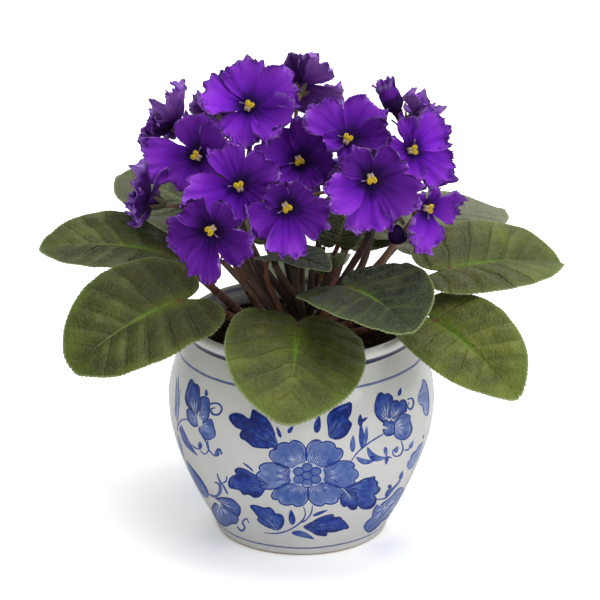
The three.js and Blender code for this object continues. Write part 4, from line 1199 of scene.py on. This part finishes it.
# Flowers: the middle of the face, where it looks, its roll, its radius, how far the lobes lean forward, and how
# strong the fringe is where it is weaker than usual
flowerColumns = "at facing roll radius cup calm".split()
flowerRows = {
    "01": ((-26, -8, 232), (265, 40), 20, 23, 0.2), "02": ((-53, -18, 209), (250, 20), 0, 21, 0.2),
    "03": ((-65, 12, 217), (135, 22), 0, 20, 0.25), "04": ((-46, 35, 217), (100, 35), 0, 15, 0.2),
    "05": ((-31, -45, 202), (263, 20), 0, 22, 0.15), "06": ((-1, -20, 206), (270, 25), 0, 21, 0.2),
    "07": ((-7, -56, 194), (270, 5), 0, 23, 0.1), "08": ((-45, -62, 184), (258, 12), 0, 25, 0.1),
    "09": ((-77, -26, 188), (165, 12), 0, 20, 0.24, 0.5), "10": ((23, -32, 222), (275, 35), 0, 22, 0.2),
    "11": ((34, -59, 209), (280, 15), 0, 27, 0.1), "12": ((56, -12, 210), (300, 20), 0, 22, 0.15),
    "13": ((63, -34, 186.5), (310, 5), 0, 18, 0.15), "14": ((0.5, 20, 234.5), (80, 14), 0, 18, 0.2),
    "15": ((49, 5, 225), (180, 65), 0, 13.5, 1.0), "16": ((61, 18, 219), (45, 40), 0, 15, 0.25),
    "17": ((0, 45, 181), (90, 25), 0, 22, 0.15), "18": ((38, 42, 180), (55, 12), 0, 21, 0.15),
    "19": ((-42, 38, 184), (128, 14), 0, 22, 0.15),
}
flowers = {number: dict(zip(flowerColumns, row)) for number, row in flowerRows.items()}
openFaces = "01 02 03 05 06 07 08 09 10 11 12 13 17 18 19".split()
# Each lobe as it lies in the picture: the way to its tip in degrees counter-clockwise from up, its reach in
# millimetres, half the angle that it spans, and how lit it is painted, from shaded at 0 to lit at 1. They run
# counter-clockwise.
lobesSeen = {
    "01": ((8, 23.5, 36, 0.65), (73, 25, 35, 1.0), (155, 21, 40, 0.85), (233, 24, 40, 0.65), (299, 27, 36, 0.45)),
    "02": ((358, 22, 44, 0.1), (97, 28, 30, 0.65), (152, 20, 34, 0.5), (228, 16, 38, 0.3), (306, 19, 38, 0.25)),
    "03": ((36, 17, 34, 0.7), (106, 23, 25, 0.1), (190, 12, 30, 0.2), (262, 12, 34, 0.3), (345, 20, 18, 1.0)),
    "04": ((20, 11, 34, 0.1), (90, 12, 34, 0.2), (165, 12, 34, 0.2), (240, 12, 34, 0.3), (310, 13, 34, 0.2)),
    "05": ((22, 22.5, 30, 0.5), (103, 27, 29, 1.0), (172, 20, 27, 0.85), (232, 16, 32, 0.35), (305, 21.5, 35, 0.12)),
    "06": ((56, 23, 40, 0.7), (138, 16, 34, 0.6), (205, 16.5, 32, 0.4), (262, 18.5, 36, 0.05), (340, 23, 38, 0.05)),
    "07": ((42, 14, 40, 0.0), (116, 22, 34, 0.5), (179, 24.5, 29, 0.8), (252, 22.5, 33, 0.2), (322, 15, 42, 0.05)),
    "08": ((36, 18, 31, 0.0), (104, 22, 38, 0.05), (172, 26, 27, 0.3), (238, 23.5, 31, 0.0), (312, 16, 38, 0.0)),
    "09": ((8, 21, 42, 0.0), (75, 18, 40, 0.0), (135, 18, 40, 0.0), (184, 18, 38, 0.15), (332, 20, 40, 0.6)),
    "10": ((48, 24.5, 34, 0.55), (110, 13, 36, 0.5), (180, 12, 36, 0.3), (272, 20.5, 28, 0.15), (327, 24, 36, 0.45)),
    "11": ((42, 18, 38, 0.0), (114, 24, 32, 0.85), (178, 28, 29, 0.7), (242, 26.5, 33, 0.1), (312, 20.5, 36, 0.0)),
    "12": ((20, 19, 18, 0.5), (88, 13, 34, 0.6), (172, 16, 30, 0.75), (236, 24.5, 31, 1.0), (317, 21, 39, 1.0)),
    "13": ((48, 9.5, 34, 0.35), (146, 18.5, 21, 0.75), (183, 22, 27, 1.0), (278, 15.5, 37, 0.5), (338, 12, 34, 0.15)),
    "14": ((10, 18, 28, 0.1), (85, 15, 30, 0.2), (176, 17, 36, 0.3), (251, 23, 24, 0.75), (320, 18, 38, 0.85)),
    "16": ((28, 14, 42, 1.0), (95, 13, 36, 0.9), (170, 12, 34, 0.6), (262, 13, 38, 0.8), (328, 14, 42, 1.0)),
}
lobe = {
    "sizes": (0.86, 1.0, 1.08, 1.0, 0.86), "rows": 24, "columns": 100, "throat": 1.9, "innerOverlap": 4, "half": 34,
    "widen": (1.0, 7.0), "shoulder": 0.08, "corner": 0.36, "teeth": 8.5, "toothDepth": 0.042, "uneven": 0.03,
    "pinwheel": 0.05, "ruffle": 0.09, "crimps": 15, "crimp": 0.075, "rollBack": 0.12, "thickness": 0.32, "pleat": 0.005,
    "tube": 2.4, "tubeLength": 4.5, "curl": 118, "curlFrom": 0.77, "grown": 1.05, "setBack": 0.3,
    "halfOpenFrom": 0.9, "halfOpenSizes": (1.15, 0.9, 0.95, 1.2, 0.85), "halfOpenHalf": 40, "mostTilt": 1.15,
}
petalChannels = ("reach", "around", "back", "tone", "ridge")


def flowerAxes(flower):  # out of the face, up across it, and to the left as it is seen from the front
    ahead = heading(*flower["facing"])
    up = heading(flower["facing"][0], flower["facing"][1] + 90)
    turn = -np.radians(flower.get("roll", 0))
    up = up * np.cos(turn) + np.cross(ahead, up) * np.sin(turn)
    return ahead, up, np.cross(ahead, up)


def flowerPoint(flower, angle, radius, forward):  # the angle runs from up to the left, forward is out of the face
    ahead, up, left = flowerAxes(flower)
    angle, radius, forward = np.broadcast_arrays(angle, radius, forward)
    point = np.array(flower["at"], float) + (radius * np.cos(angle))[..., None] * up
    return point + (radius * np.sin(angle))[..., None] * left + forward[..., None] * ahead


def lobePlans(flower, number):
    # for each lobe, its middle, reach and half angle in the face's own plane, and how lit it is painted: those seen in
    # the picture are turned from the picture's plane into the face's, and the others are spread evenly
    ahead, up, left = flowerAxes(flower)
    if number not in lobesSeen:
        sizes = np.array(lobe["sizes"]) * flower["radius"] * np.sqrt(max(1 - flower["cup"] ** 2, 0.2))
        if flower["cup"] > lobe["halfOpenFrom"]:  # narrow, uneven lobes, dark outside: painted as fully shaded
            sizes = sizes * lobe["halfOpenSizes"]
            return [(36 + 72 * k, size, lobe["halfOpenHalf"], 0.0) for k, size in enumerate(sizes)]
        return [(36 + 72 * k, size, lobe["half"], 0.15 + 0.17 * k) for k, size in enumerate(sizes)]
    right, rise = np.array([1.0, 0.0, 0.0]), heading(90, 90 - studio["lift"])
    seen = np.array([[up @ right, left @ right], [up @ rise, left @ rise]])
    plans = []
    for turn, reach, half, tone in lobesSeen[number]:
        way = np.linalg.solve(seen, reach * np.array([-np.sin(np.radians(turn)), np.cos(np.radians(turn))]))
        middle = np.degrees(np.arctan2(way[1], way[0])) % 360
        plans.append((middle, min(np.hypot(*way), lobe["mostTilt"] * reach), half, tone))
    return sorted(plans)


def halfOpenLobe(plan, radius, length, outline, crimp, t, s):  # a narrow tube whose tips have begun to turn out
    tube = 0.56 * (length * outline) * soft(0, 0.3, t) * (1 - 0.45 * soft(0.55, 0.9, t))
    reach = plan["throat"] + tube + 0.36 * length * outline * t ** 9
    rise = 1.35 * (0.35 + 0.65 * outline) * t + 0.08 * s * t + 0.5 * plan["crimp"] * crimp
    return reach, radius * rise - plan["setBack"]


def lobeGrids(flower, plans, number, seed, plan):
    # A fan that starts as its share of the throat and widens to its own spread. Its reach falls away from the middle
    # line as a square and, close to the sides, a sixth power. The sheet is cupped forward, waved more and more towards
    # its edge, crimped and toothed along the edge, and turned a little like the blade of a pinwheel
    t = np.linspace(0, 1, plan["rows"])[:, None] ** 0.75
    s = np.linspace(-1, 1, plan["columns"])[None, :]
    dice = np.random.default_rng(seed)
    middle, length, half, tone = plans[number]
    length = length * plan["grown"]
    before, after = plans[number - 1], plans[(number + 1) % len(plans)]
    toBefore, toAfter = (middle - before[0]) % 360 / 2, (after[0] - middle) % 360 / 2
    inner = s * (np.where(s < 0, toBefore, toAfter) + plan["innerOverlap"])
    spread = s * (plan["widen"][0] * half + plan["widen"][1])
    angle = middle + inner + (spread - inner) * soft(0.1, 0.65, t)
    cycle = plan["teeth"] * s + 1.6 * wander(seed, 5, s) + dice.uniform(0, 1)
    scallop = np.abs(np.sin(np.pi * cycle)) ** 0.7 - 0.6
    fringe = plan["toothDepth"] * scallop * np.clip(0.6 + 1.1 * wander(seed + 4, 6, s), 0.1, 1.7)
    dent = -dice.uniform(0, 0.13) * np.exp(-((s - dice.uniform(-0.4, 0.4)) / 0.1) ** 2)
    fringe = fringe + dent + plan["uneven"] * (wander(seed + 1, 5.5, s) + 0.5 * wander(seed + 8, 16, s))
    calm = flower.get("calm", 1)
    outline = 1 - plan["shoulder"] * s ** 2 - plan["corner"] * np.abs(s) ** 6 + calm * fringe * soft(0.5, 1, t)
    slow, fast = dice.uniform(0.8, 1.4), dice.uniform(2.0, 2.9)
    waves = np.sin(2 * np.pi * (slow * s + dice.uniform(0, 1)))
    waves = waves + 0.6 * np.sin(2 * np.pi * (fast * s + dice.uniform(0, 1)))
    crimp = 0.75 * wander(seed + 6, plan["crimps"], s, 3 * t) + 0.5 * wander(seed + 12, 2.2 * plan["crimps"], s, 4 * t)
    crimp = calm * crimp * np.clip(0.8 + 0.9 * wander(seed + 9, 2.2, s), 0.15, 1.7) * soft(0.74, 1, t)
    ruffle = plan["ruffle"] * (waves * t ** 3.5 + 0.8 * wander(seed + 2, 2.0, s * 1.5, t * 2) * t ** 2)
    lean = flower["cup"] * t ** 2 + dice.normal(0, 0.08) * t ** 2
    fold = dice.normal(0.02, 0.1) * np.abs(s) ** 1.6 * t ** 1.6
    curlAt = np.exp(-((s - dice.uniform(-0.7, 0.7)) / dice.uniform(0.2, 0.4)) ** 2)
    roll = (dice.normal(-0.02, 0.05) + dice.choice([-1, 1]) * plan["rollBack"] * curlAt) * t ** 5
    turned = plan["pinwheel"] * s * (0.05 + 0.95 * t ** 1.3)
    folds = np.sin(2 * np.pi * (2.3 * s + dice.uniform(0, 1)) + wander(seed + 7, 2, s))
    pleats = plan["pleat"] * folds * np.sin(np.pi * t ** 0.9)
    crease = -0.03 * np.exp(-(s / 0.14) ** 2) * np.sin(np.pi * t) ** 0.8
    radius = flower["radius"]
    if flower["cup"] > plan["halfOpenFrom"]:
        reach, forward = halfOpenLobe(plan, radius, length, outline, crimp, t, s)
    else:
        reach = plan["throat"] + (length * outline - plan["throat"]) * t
        shape = pleats + ruffle + fold + roll + plan["crimp"] * crimp
        forward = radius * (lean + turned + crease + shape * soft(0, 0.35, t)) - plan["setBack"]
        # here and there the edge rolls over, towards the front or the back: the steps along the lobe are turned
        rolled = np.clip(1.5 * wander(seed + 21, 4, s) + 0.2, -0.6, 1) + 0.18 * wander(seed + 22, 9, s)
        turn = np.radians(plan["curl"]) * rolled * soft(plan["curlFrom"], 1, t) ** 1.2
        along = np.diff(reach, axis=0, prepend=reach[:1])
        reach = reach + np.cumsum(along * (np.cos(turn) - 1), axis=0)
        forward = forward + np.cumsum(along * np.sin(turn), axis=0)
    thick = plan["thickness"] * (1 - 0.6 * t ** 2)
    angle = np.radians(angle)
    # ridge: how far the sheet stands up in a fold, which the colour turns into painted highlights and painted shade;
    # near the throat each lobe's painted light blends towards its neighbours'
    ridge = np.clip(0.5 + 8 * pleats + 2.0 * ruffle + 0.6 * crimp, 0, 1)
    nextTone = np.where(s < 0, before[3], after[3])
    tone = tone + (nextTone - tone) * 0.5 * s ** 2 * (1 - soft(0.25, 0.85, t))
    front = withChannels(flowerPoint(flower, angle, reach, forward), t, s, 0.0, tone, ridge)
    back = withChannels(flowerPoint(flower, angle, reach, forward - thick), t, s, 1.0, tone, 1 - ridge)
    return front, back


def petalMaterial():
    material, tree, shader = newMaterial(
        "violetPetal", Specular_IOR_Level=0.08, Sheen_Weight=0.03, Sheen_Roughness=0.35, Sheen_Tint=tint("8a2cf0"))
    broad, fine = patches(tree, 7.0, 0.7)
    reach, around, back, tone, ridge = (channelOf(tree, name) for name in petalChannels)
    waver = times(minus(broad, 0.5), 0.3)
    far = plus(reach, waver)
    # lit and shaded copies of one violet: the bright ramps are the petal painted as lit and the dark ones painted as
    # shaded, mixed by lit, which is the lobe's painted light raised a little on the crests of its folds
    bright = ramp(
        far, (0.0, "18042e"), (0.13, "300868"), (0.34, "761ec8"), (0.6, "9a34ea"), (0.86, "ac4cf2"), (1.0, "b660f4"))
    dark = ramp(far, (0.0, "140426"), (0.2, "280a48"), (0.5, "561a8a"), (0.8, "6a249e"), (1.0, "7a36b2"))
    lit = calc("ADD", tone, times(minus(ridge, 0.5), 0.25), clamp=True)
    rearBright = ramp(far, (0.0, "4a1c72"), (0.35, "8a48b8"), (0.75, "b87ae4"), (1.0, "d0a0f4"))
    rearDark = ramp(far, (0.0, "16041f"), (0.4, "2a0c46"), (0.8, "421868"), (1.0, "5c2e86"))
    rear = over(blend(lit, rearDark, rearBright), step(0.74, 0.95, reach), 0.6, "ac7edc")
    colour = blend(back, blend(lit, dark, bright), rear)
    # fine streaks along the lobe, fading outwards
    streak = calc("SINE", plus(times(around, 30.0), times(broad, 9.0)))
    streaks = times(step(0.2, 1.0, streak), times(step(0.9, 0.15, reach), 0.08))
    colour = blend(streaks, colour, tint("28086a"))
    # a crinkled band along the edge, with painted highlights on its crests and painted shade in its hollows, and a
    # painted shade line at the very edge
    band = step(0.82, 0.96, plus(reach, times(waver, 0.4)))
    crinkle = calc("SINE", plus(times(around, 34.0), times(broad, 30.0)))
    crest = plus(plus(ridge, times(minus(fine, 0.5), 1.1)), times(crinkle, 0.24))
    colour = over(colour, times(band, step(0.5, 0.2, crest)), 0.5, "1e0640")
    colour = over(colour, times(step(0.97, 1.0, reach), step(0.8, 0.4, crest)), 0.6, "2c0b52")
    colour = over(colour, times(band, step(0.52, 0.85, crest)), 0.72, "b488e4")
    # small bright violet specks: painted sparkle
    colour = over(colour, step(0.56, 0.75, fine), 0.14, "9a4cf0")
    feed(shader, Base_Color=colour, Roughness=plus(times(fine, 0.25), 0.45))
    emboss(shader, plus(times(streak, 0.012), times(fine, 0.12)), 0.5, 0.12, 0.8)
    return material


petalSkin = petalMaterial()


def tubeLoft(flower, plan):  # the short tube behind the face: a funnel that is closed at its foot
    forward = np.array([0.4, -0.4, -1.2, -2.4, -3.6, -plan["tubeLength"], -plan["tubeLength"]])[:, None]
    radius = plan["tube"] * np.array([1.25, 1.1, 1.0, 0.95, 0.95, 0.85, 0.2])[:, None]
    angle = np.linspace(0, 2 * np.pi, 20, endpoint=False)[None, :]
    funnel = flowerPoint(flower, angle, radius, forward)
    innerRadius, innerForward = np.array([(0.2, -2.6), (0.7, -2.2), (1.0, 0.3)]).T[..., None]
    inner = flowerPoint(flower, angle, plan["tube"] * innerRadius, innerForward)
    reach = np.array([0.0, 0.0, 0.05] + [0.1] * len(forward))[:, None]
    side = np.array([0.0] * len(innerRadius) + [1.0] * len(forward))[:, None]
    return loft(withChannels(np.concatenate([inner, funnel]), reach, 0.0, side, 0.4, 0.5))


def buildFlowers():
    for place, (number, flower) in enumerate(flowers.items()):
        plans = lobePlans(flower, number)
        parts = [slab(*lobeGrids(flower, plans, k, 1000 + 20 * place + 3 * k, lobe)) for k in range(len(plans))]
        parts.append(tubeLoft(flower, lobe))
        makePiece("flower_" + number, [(petalSkin, *gather(parts))], petalChannels, ["corolla_" + number])


buildFlowers()
print("flowers ready:", len(flowers))

# Anthers: two plump yellow pouches on pale bent filaments, given as radius, forward and spread, and the thin pistil
# beside them. The filament's way is in degrees counter-clockwise from up, as the picture shows it.
anther = {
    "length": 1.7, "width": 1.3, "spread": 1.15, "ahead": 2.5, "groove": 0.26, "askew": 14,
    "filament": ((0.6, -2.4, 0.5), (1.8, -0.6, 0.4), (2.9, 1.0, 0.28), (2.6, 2.0, 0.3), (1.2, 2.2, 0.7)),
    "pistil": ((1, -2.4), (2.0, 1.0), (3.6, 2.4), (5.4, 3.0)), "pistilWays": (-70, 80, 110, -100), "usualWay": 180,
}
filaments = {"01": 172, "02": 245, "05": 200, "06": 20, "07": 35, "08": 310, "10": 150, "11": 10, "12": 90, "13": 75}


def pollenMaterial():
    material, tree, shader = newMaterial("yellowPollen", Specular_IOR_Level=0.35, Subsurface_Weight=0.05)
    fine = patches(tree, 1.6, 0.4)[1]
    yellow = ramp(fine, (0.3, "d19a06"), (0.5, "f4cf12"), (0.72, "ffea58"))
    pale = channelOf(tree, "style")
    stalk = ramp(pale, (0.3, "8a5ab0"), (0.5, "d9c9a8"), (0.75, "a07e66"), (1.0, "4a2238"))
    colour = blend(step(0.1, 0.3, pale), yellow, stalk)
    # darker brown in the groove and towards the ends of each pouch: painted shade
    colour = blend(channelOf(tree, "groove"), colour, tint("8a5c06"))
    feed(shader, Base_Color=colour, Roughness=plus(times(fine, 0.3), 0.4))
    emboss(shader, 0.0, 0.3, 0.2)
    return material


def antherGrid(flower, plan, turned, sign):  # an oval pouch with a groove down its front, set askew
    turn = np.linspace(0.06, np.pi - 0.06, 16)[:, None]
    around = np.linspace(0, 2 * np.pi, 24, endpoint=False)[None, :]
    ahead, up, left = flowerAxes(flower)
    lean = np.radians(turned + plan["askew"] * sign)
    along, across = up * np.cos(lean) + left * np.sin(lean), left * np.cos(lean) - up * np.sin(lean)
    groove = np.exp(-((around - np.pi / 2) / 0.32) ** 2) * np.sin(turn)
    girth = plan["width"] * np.sin(turn) ** 0.75 * (1 - plan["groove"] * groove)
    centre = flowerPoint(flower, np.radians(turned) + np.pi / 2, sign * plan["spread"], plan["ahead"] + 0.12 * sign)
    points = (centre + (plan["length"] * np.cos(turn))[..., None] * along + (girth * np.cos(around))[..., None] * across
              + (girth * np.sin(around))[..., None] * ahead)
    # the second channel is painted shade: in the groove and towards the pouch's ends
    return withChannels(points, 0.0, 0.75 * groove + 0.35 * (1 - np.sin(turn)))


def buildAnthers():
    # the filaments and the pistil are tubes: the first thicken a little in the middle, the last at its tip
    skin = pollenMaterial()
    girth = 0.62 + 0.22 * np.sin(np.linspace(0, 2.6, 16))
    swell = 0.2 * np.array([1.0] * 11 + [1.2, 1.9, 1.5])
    for place, number in enumerate(openFaces):
        flower = flowers[number]
        dice = np.random.default_rng(500 + place)
        turned = filaments.get(number, anther["usualWay"]) - 180.0
        parts = [loft(antherGrid(flower, anther, turned, sign)) for sign in (1, -1)]
        way = np.radians(turned + 180)
        for sign in (-1, 1):
            bends = [flowerPoint(flower, way + sign * spread, r, z) for r, z, spread in anther["filament"]]
            tube = tubeGrid(smoothCurve(bends, len(girth)), girth, 10)
            parts.append(loft(withChannels(tube, np.linspace(1, 0.5, len(girth))[:, None], 0.0)))
        way = np.radians(turned + dice.choice(anther["pistilWays"]))
        bends = [flowerPoint(flower, way, r, z) for r, z in anther["pistil"]]
        parts.append(loft(withChannels(tubeGrid(smoothCurve(bends, len(swell)), swell, 8), 0.35, 0.0)))
        makePiece("pollen_" + number, [(skin, *gather(parts))], ("style", "groove"), ["anthers_" + number])


buildAnthers()
print("anthers ready:", len(openFaces))

# Closed buds
buds = {
    "bud_right": dict(at=(48, -34, 178), facing=(280, -75), radius=4.9, length=10.5),
    "bud_left": dict(at=(-58, -2, 193), facing=(190, 35), radius=3, length=7),
}


def buildBuds():  # a drop whose five folded petals show as soft ridges, twisted a little
    t = np.linspace(0.02, 0.99, 26)[:, None]
    around = np.linspace(0, 2 * np.pi, 50, endpoint=False)[None, :]
    fold = 1 + 0.09 * np.cos(5 * (around + 0.7 * t)) * soft(0.1, 0.5, t)
    seam = 1 - np.abs(np.cos(2.5 * (around + 0.7 * t)))
    for name, bud in buds.items():
        width = bud["radius"] * np.sin(np.pi * t ** 0.7) ** 0.75
        grid = flowerPoint(bud, around, width * fold, bud["length"] * (1 - t))
        grid = withChannels(grid, 0.1 + 0.3 * seam, around / np.pi, 1.0, 0.0, 0.5)
        makePiece("closed_" + name, [(petalSkin, *loft(grid))], petalChannels, [name])


buildBuds()
print("buds ready")

# Flower stalks: out of the crown through the points in via up to the fork, then a branch for each flower and bud.
# Sepals: length, count, width and how far they open
stalkColumns = "root via fork flowers buds green".split()
stalkRows = {
    "stalk_far_left": ((190, 35), [(-30, -4, 150)], (-50, 0, 178), ("02", "03", "09"), ("bud_left",), 0.5),
    "stalk_left": ((225, 35), [(-24, -12, 148)], (-31, -20, 176), ("01", "04", "05", "08"), (), 0.2),
    "stalk_middle": ((220, 72), [(-3, 0, 148)], (-3, -21, 170), ("06", "07"), (), 0.1),
    "stalk_front_right": ((305, 35), [(20, -18, 141), (34, -20, 167)], (36, -22, 182), ("10", "11"), (), 0.0),
    "stalk_right": ((337, 35), [(31, -6, 146)], (42, 3, 184), ("15",), ("bud_right",), 0.1),
    "stalk_far_right": ((10, 35), [(38, 4, 141)], (59, 1, 170), ("12", "13", "16"), (), 0.9),
    "stalk_rear": ((92, 35), [(0, 18, 146)], (-2, 28, 166), ("14", "17", "18", "19"), (), 0.6),
}
stalks = {name: dict(zip(stalkColumns, row)) for name, row in stalkRows.items()}
stem = {
    "foot": 2.2, "top": 1.65, "branch": 1.05, "rows": 44, "branchRows": 26, "hairs": 420, "hair": (1.25, 0.055),
    "branchHairs": 5, "branchHair": (1.0, 0.05), "calyxLength": 4.8, "overlap": 1.2, "knotDrop": 1.5,
    "flower": {"front": -4.8, "sepals": (7.2, 5, 1.5, 3.3)}, "bud": {"front": -0.3, "sepals": (5.0, 5, 1.5, 3.0)},
    "knot": {"front": 4.0, "sepals": (4.5, 3, 1.3, 2.0)},
}


def sepalSlabs(head, kind):
    # narrow pointed leaves round the tube: from the foot of the calyx forwards, opening as they go
    length, count, wide, flare = kind["sepals"]
    t, s = np.linspace(0, 1, 12)[:, None], np.linspace(-1, 1, 5)[None, :]
    out = 1.2 + flare * t ** 0.7 + 0.5 * (1 - s ** 2) * t
    width = wide * np.sin(np.pi * (0.22 + 0.77 * t)) ** 0.8
    forward = kind["front"] - stem["calyxLength"] + 0.2 + length * t
    angles = [2 * np.pi * (k + 0.5) / count + s * width / out for k in range(count)]
    return [leafletSlab(head, angle, out, forward, (0.4, 0.8)) for angle in angles]


def branchParts(head, kind, fork, green, dice, seed):  # a bent tube to the calyx, its cup, its sepals and its hairs
    ahead = flowerAxes(head)[0]
    end = np.array(head["at"], float) + ahead * (kind["front"] - stem["calyxLength"] + stem["overlap"])
    span, rows = np.linalg.norm(end - fork), stem["branchRows"]
    up = np.array([0, 0, 1.0])
    way = bezier(fork - 0.6 * up, fork + span * 0.3 * up, end - ahead * span * 0.4, end, rows)
    radii = stem["branch"] * (1.25 - 0.35 * np.sin(np.pi * np.linspace(0.1, 0.9, rows)))
    branch = tubeGrid(way, radii, 9)
    picked = pickHairs(branch, unit(branch - way[:, None]), int(stem["branchHairs"] * span), dice)
    around = np.linspace(0, 2 * np.pi, 20, endpoint=False)[None, :]
    t = np.linspace(0, 1, 8)[:, None]
    cup = flowerPoint(head, -around, 1.15 + 1.5 * soft(0, 0.8, t), kind["front"] - stem["calyxLength"] + 3.2 * t)
    tubes = [loft(withChannels(branch, 0.3 + 0.6 * green, 0.15)), loft(withChannels(cup, 0.4, 0.6))]
    return tubes + sepalSlabs(head, kind), hairs(*picked, *stem["branchHair"], seed, 2)


def buildStalks():
    buildHeartStems(heartStems)
    rows = stem["rows"]
    t = np.linspace(0, 1, rows)
    for place, (name, plan) in enumerate(stalks.items()):
        dice = np.random.default_rng(700 + place)
        start, normal = crownRoot(*plan["root"])
        fork, last = np.array(plan["fork"], float), np.array(plan["via"][-1], float)
        path = smoothCurve([start, start + 5 * normal, *plan["via"], (last + fork) / 2, fork], rows)
        shaft = tubeGrid(path, np.linspace(stem["foot"], stem["top"], rows) * (1 + 0.03 * wander(place, 8, t)), 12)
        green = plan["green"] * np.linspace(0.3, 1, rows)[:, None]
        parts = [loft(withChannels(shaft, green, 0.0))]
        picked = pickHairs(shaft, unit(shaft - path[:, None]), stem["hairs"], dice)
        fuzz = [hairs(*picked, *stem["hair"], place, 2)]
        knot = dict(at=tuple(fork - np.array([0, 0, stem["knotDrop"]])), facing=(0, 90))
        parts += sepalSlabs(knot, stem["knot"])
        heads = [(flowers[number], stem["flower"]) for number in plan["flowers"]]
        heads += [(buds[bud], stem["bud"]) for bud in plan["buds"]]
        for head, kind in heads:
            pieces, fluff = branchParts(head, kind, fork, plan["green"], dice, place + 30)
            parts += pieces
            fuzz.append(fluff)
        layers = [(stemSkin, *gather(parts)), (stemHair, *gather(fuzz))]
        makePiece(name.replace("stalk", "stem"), layers, ("green", "leafy"), [name])


buildStalks()
print("stalks ready:", len(stalks))
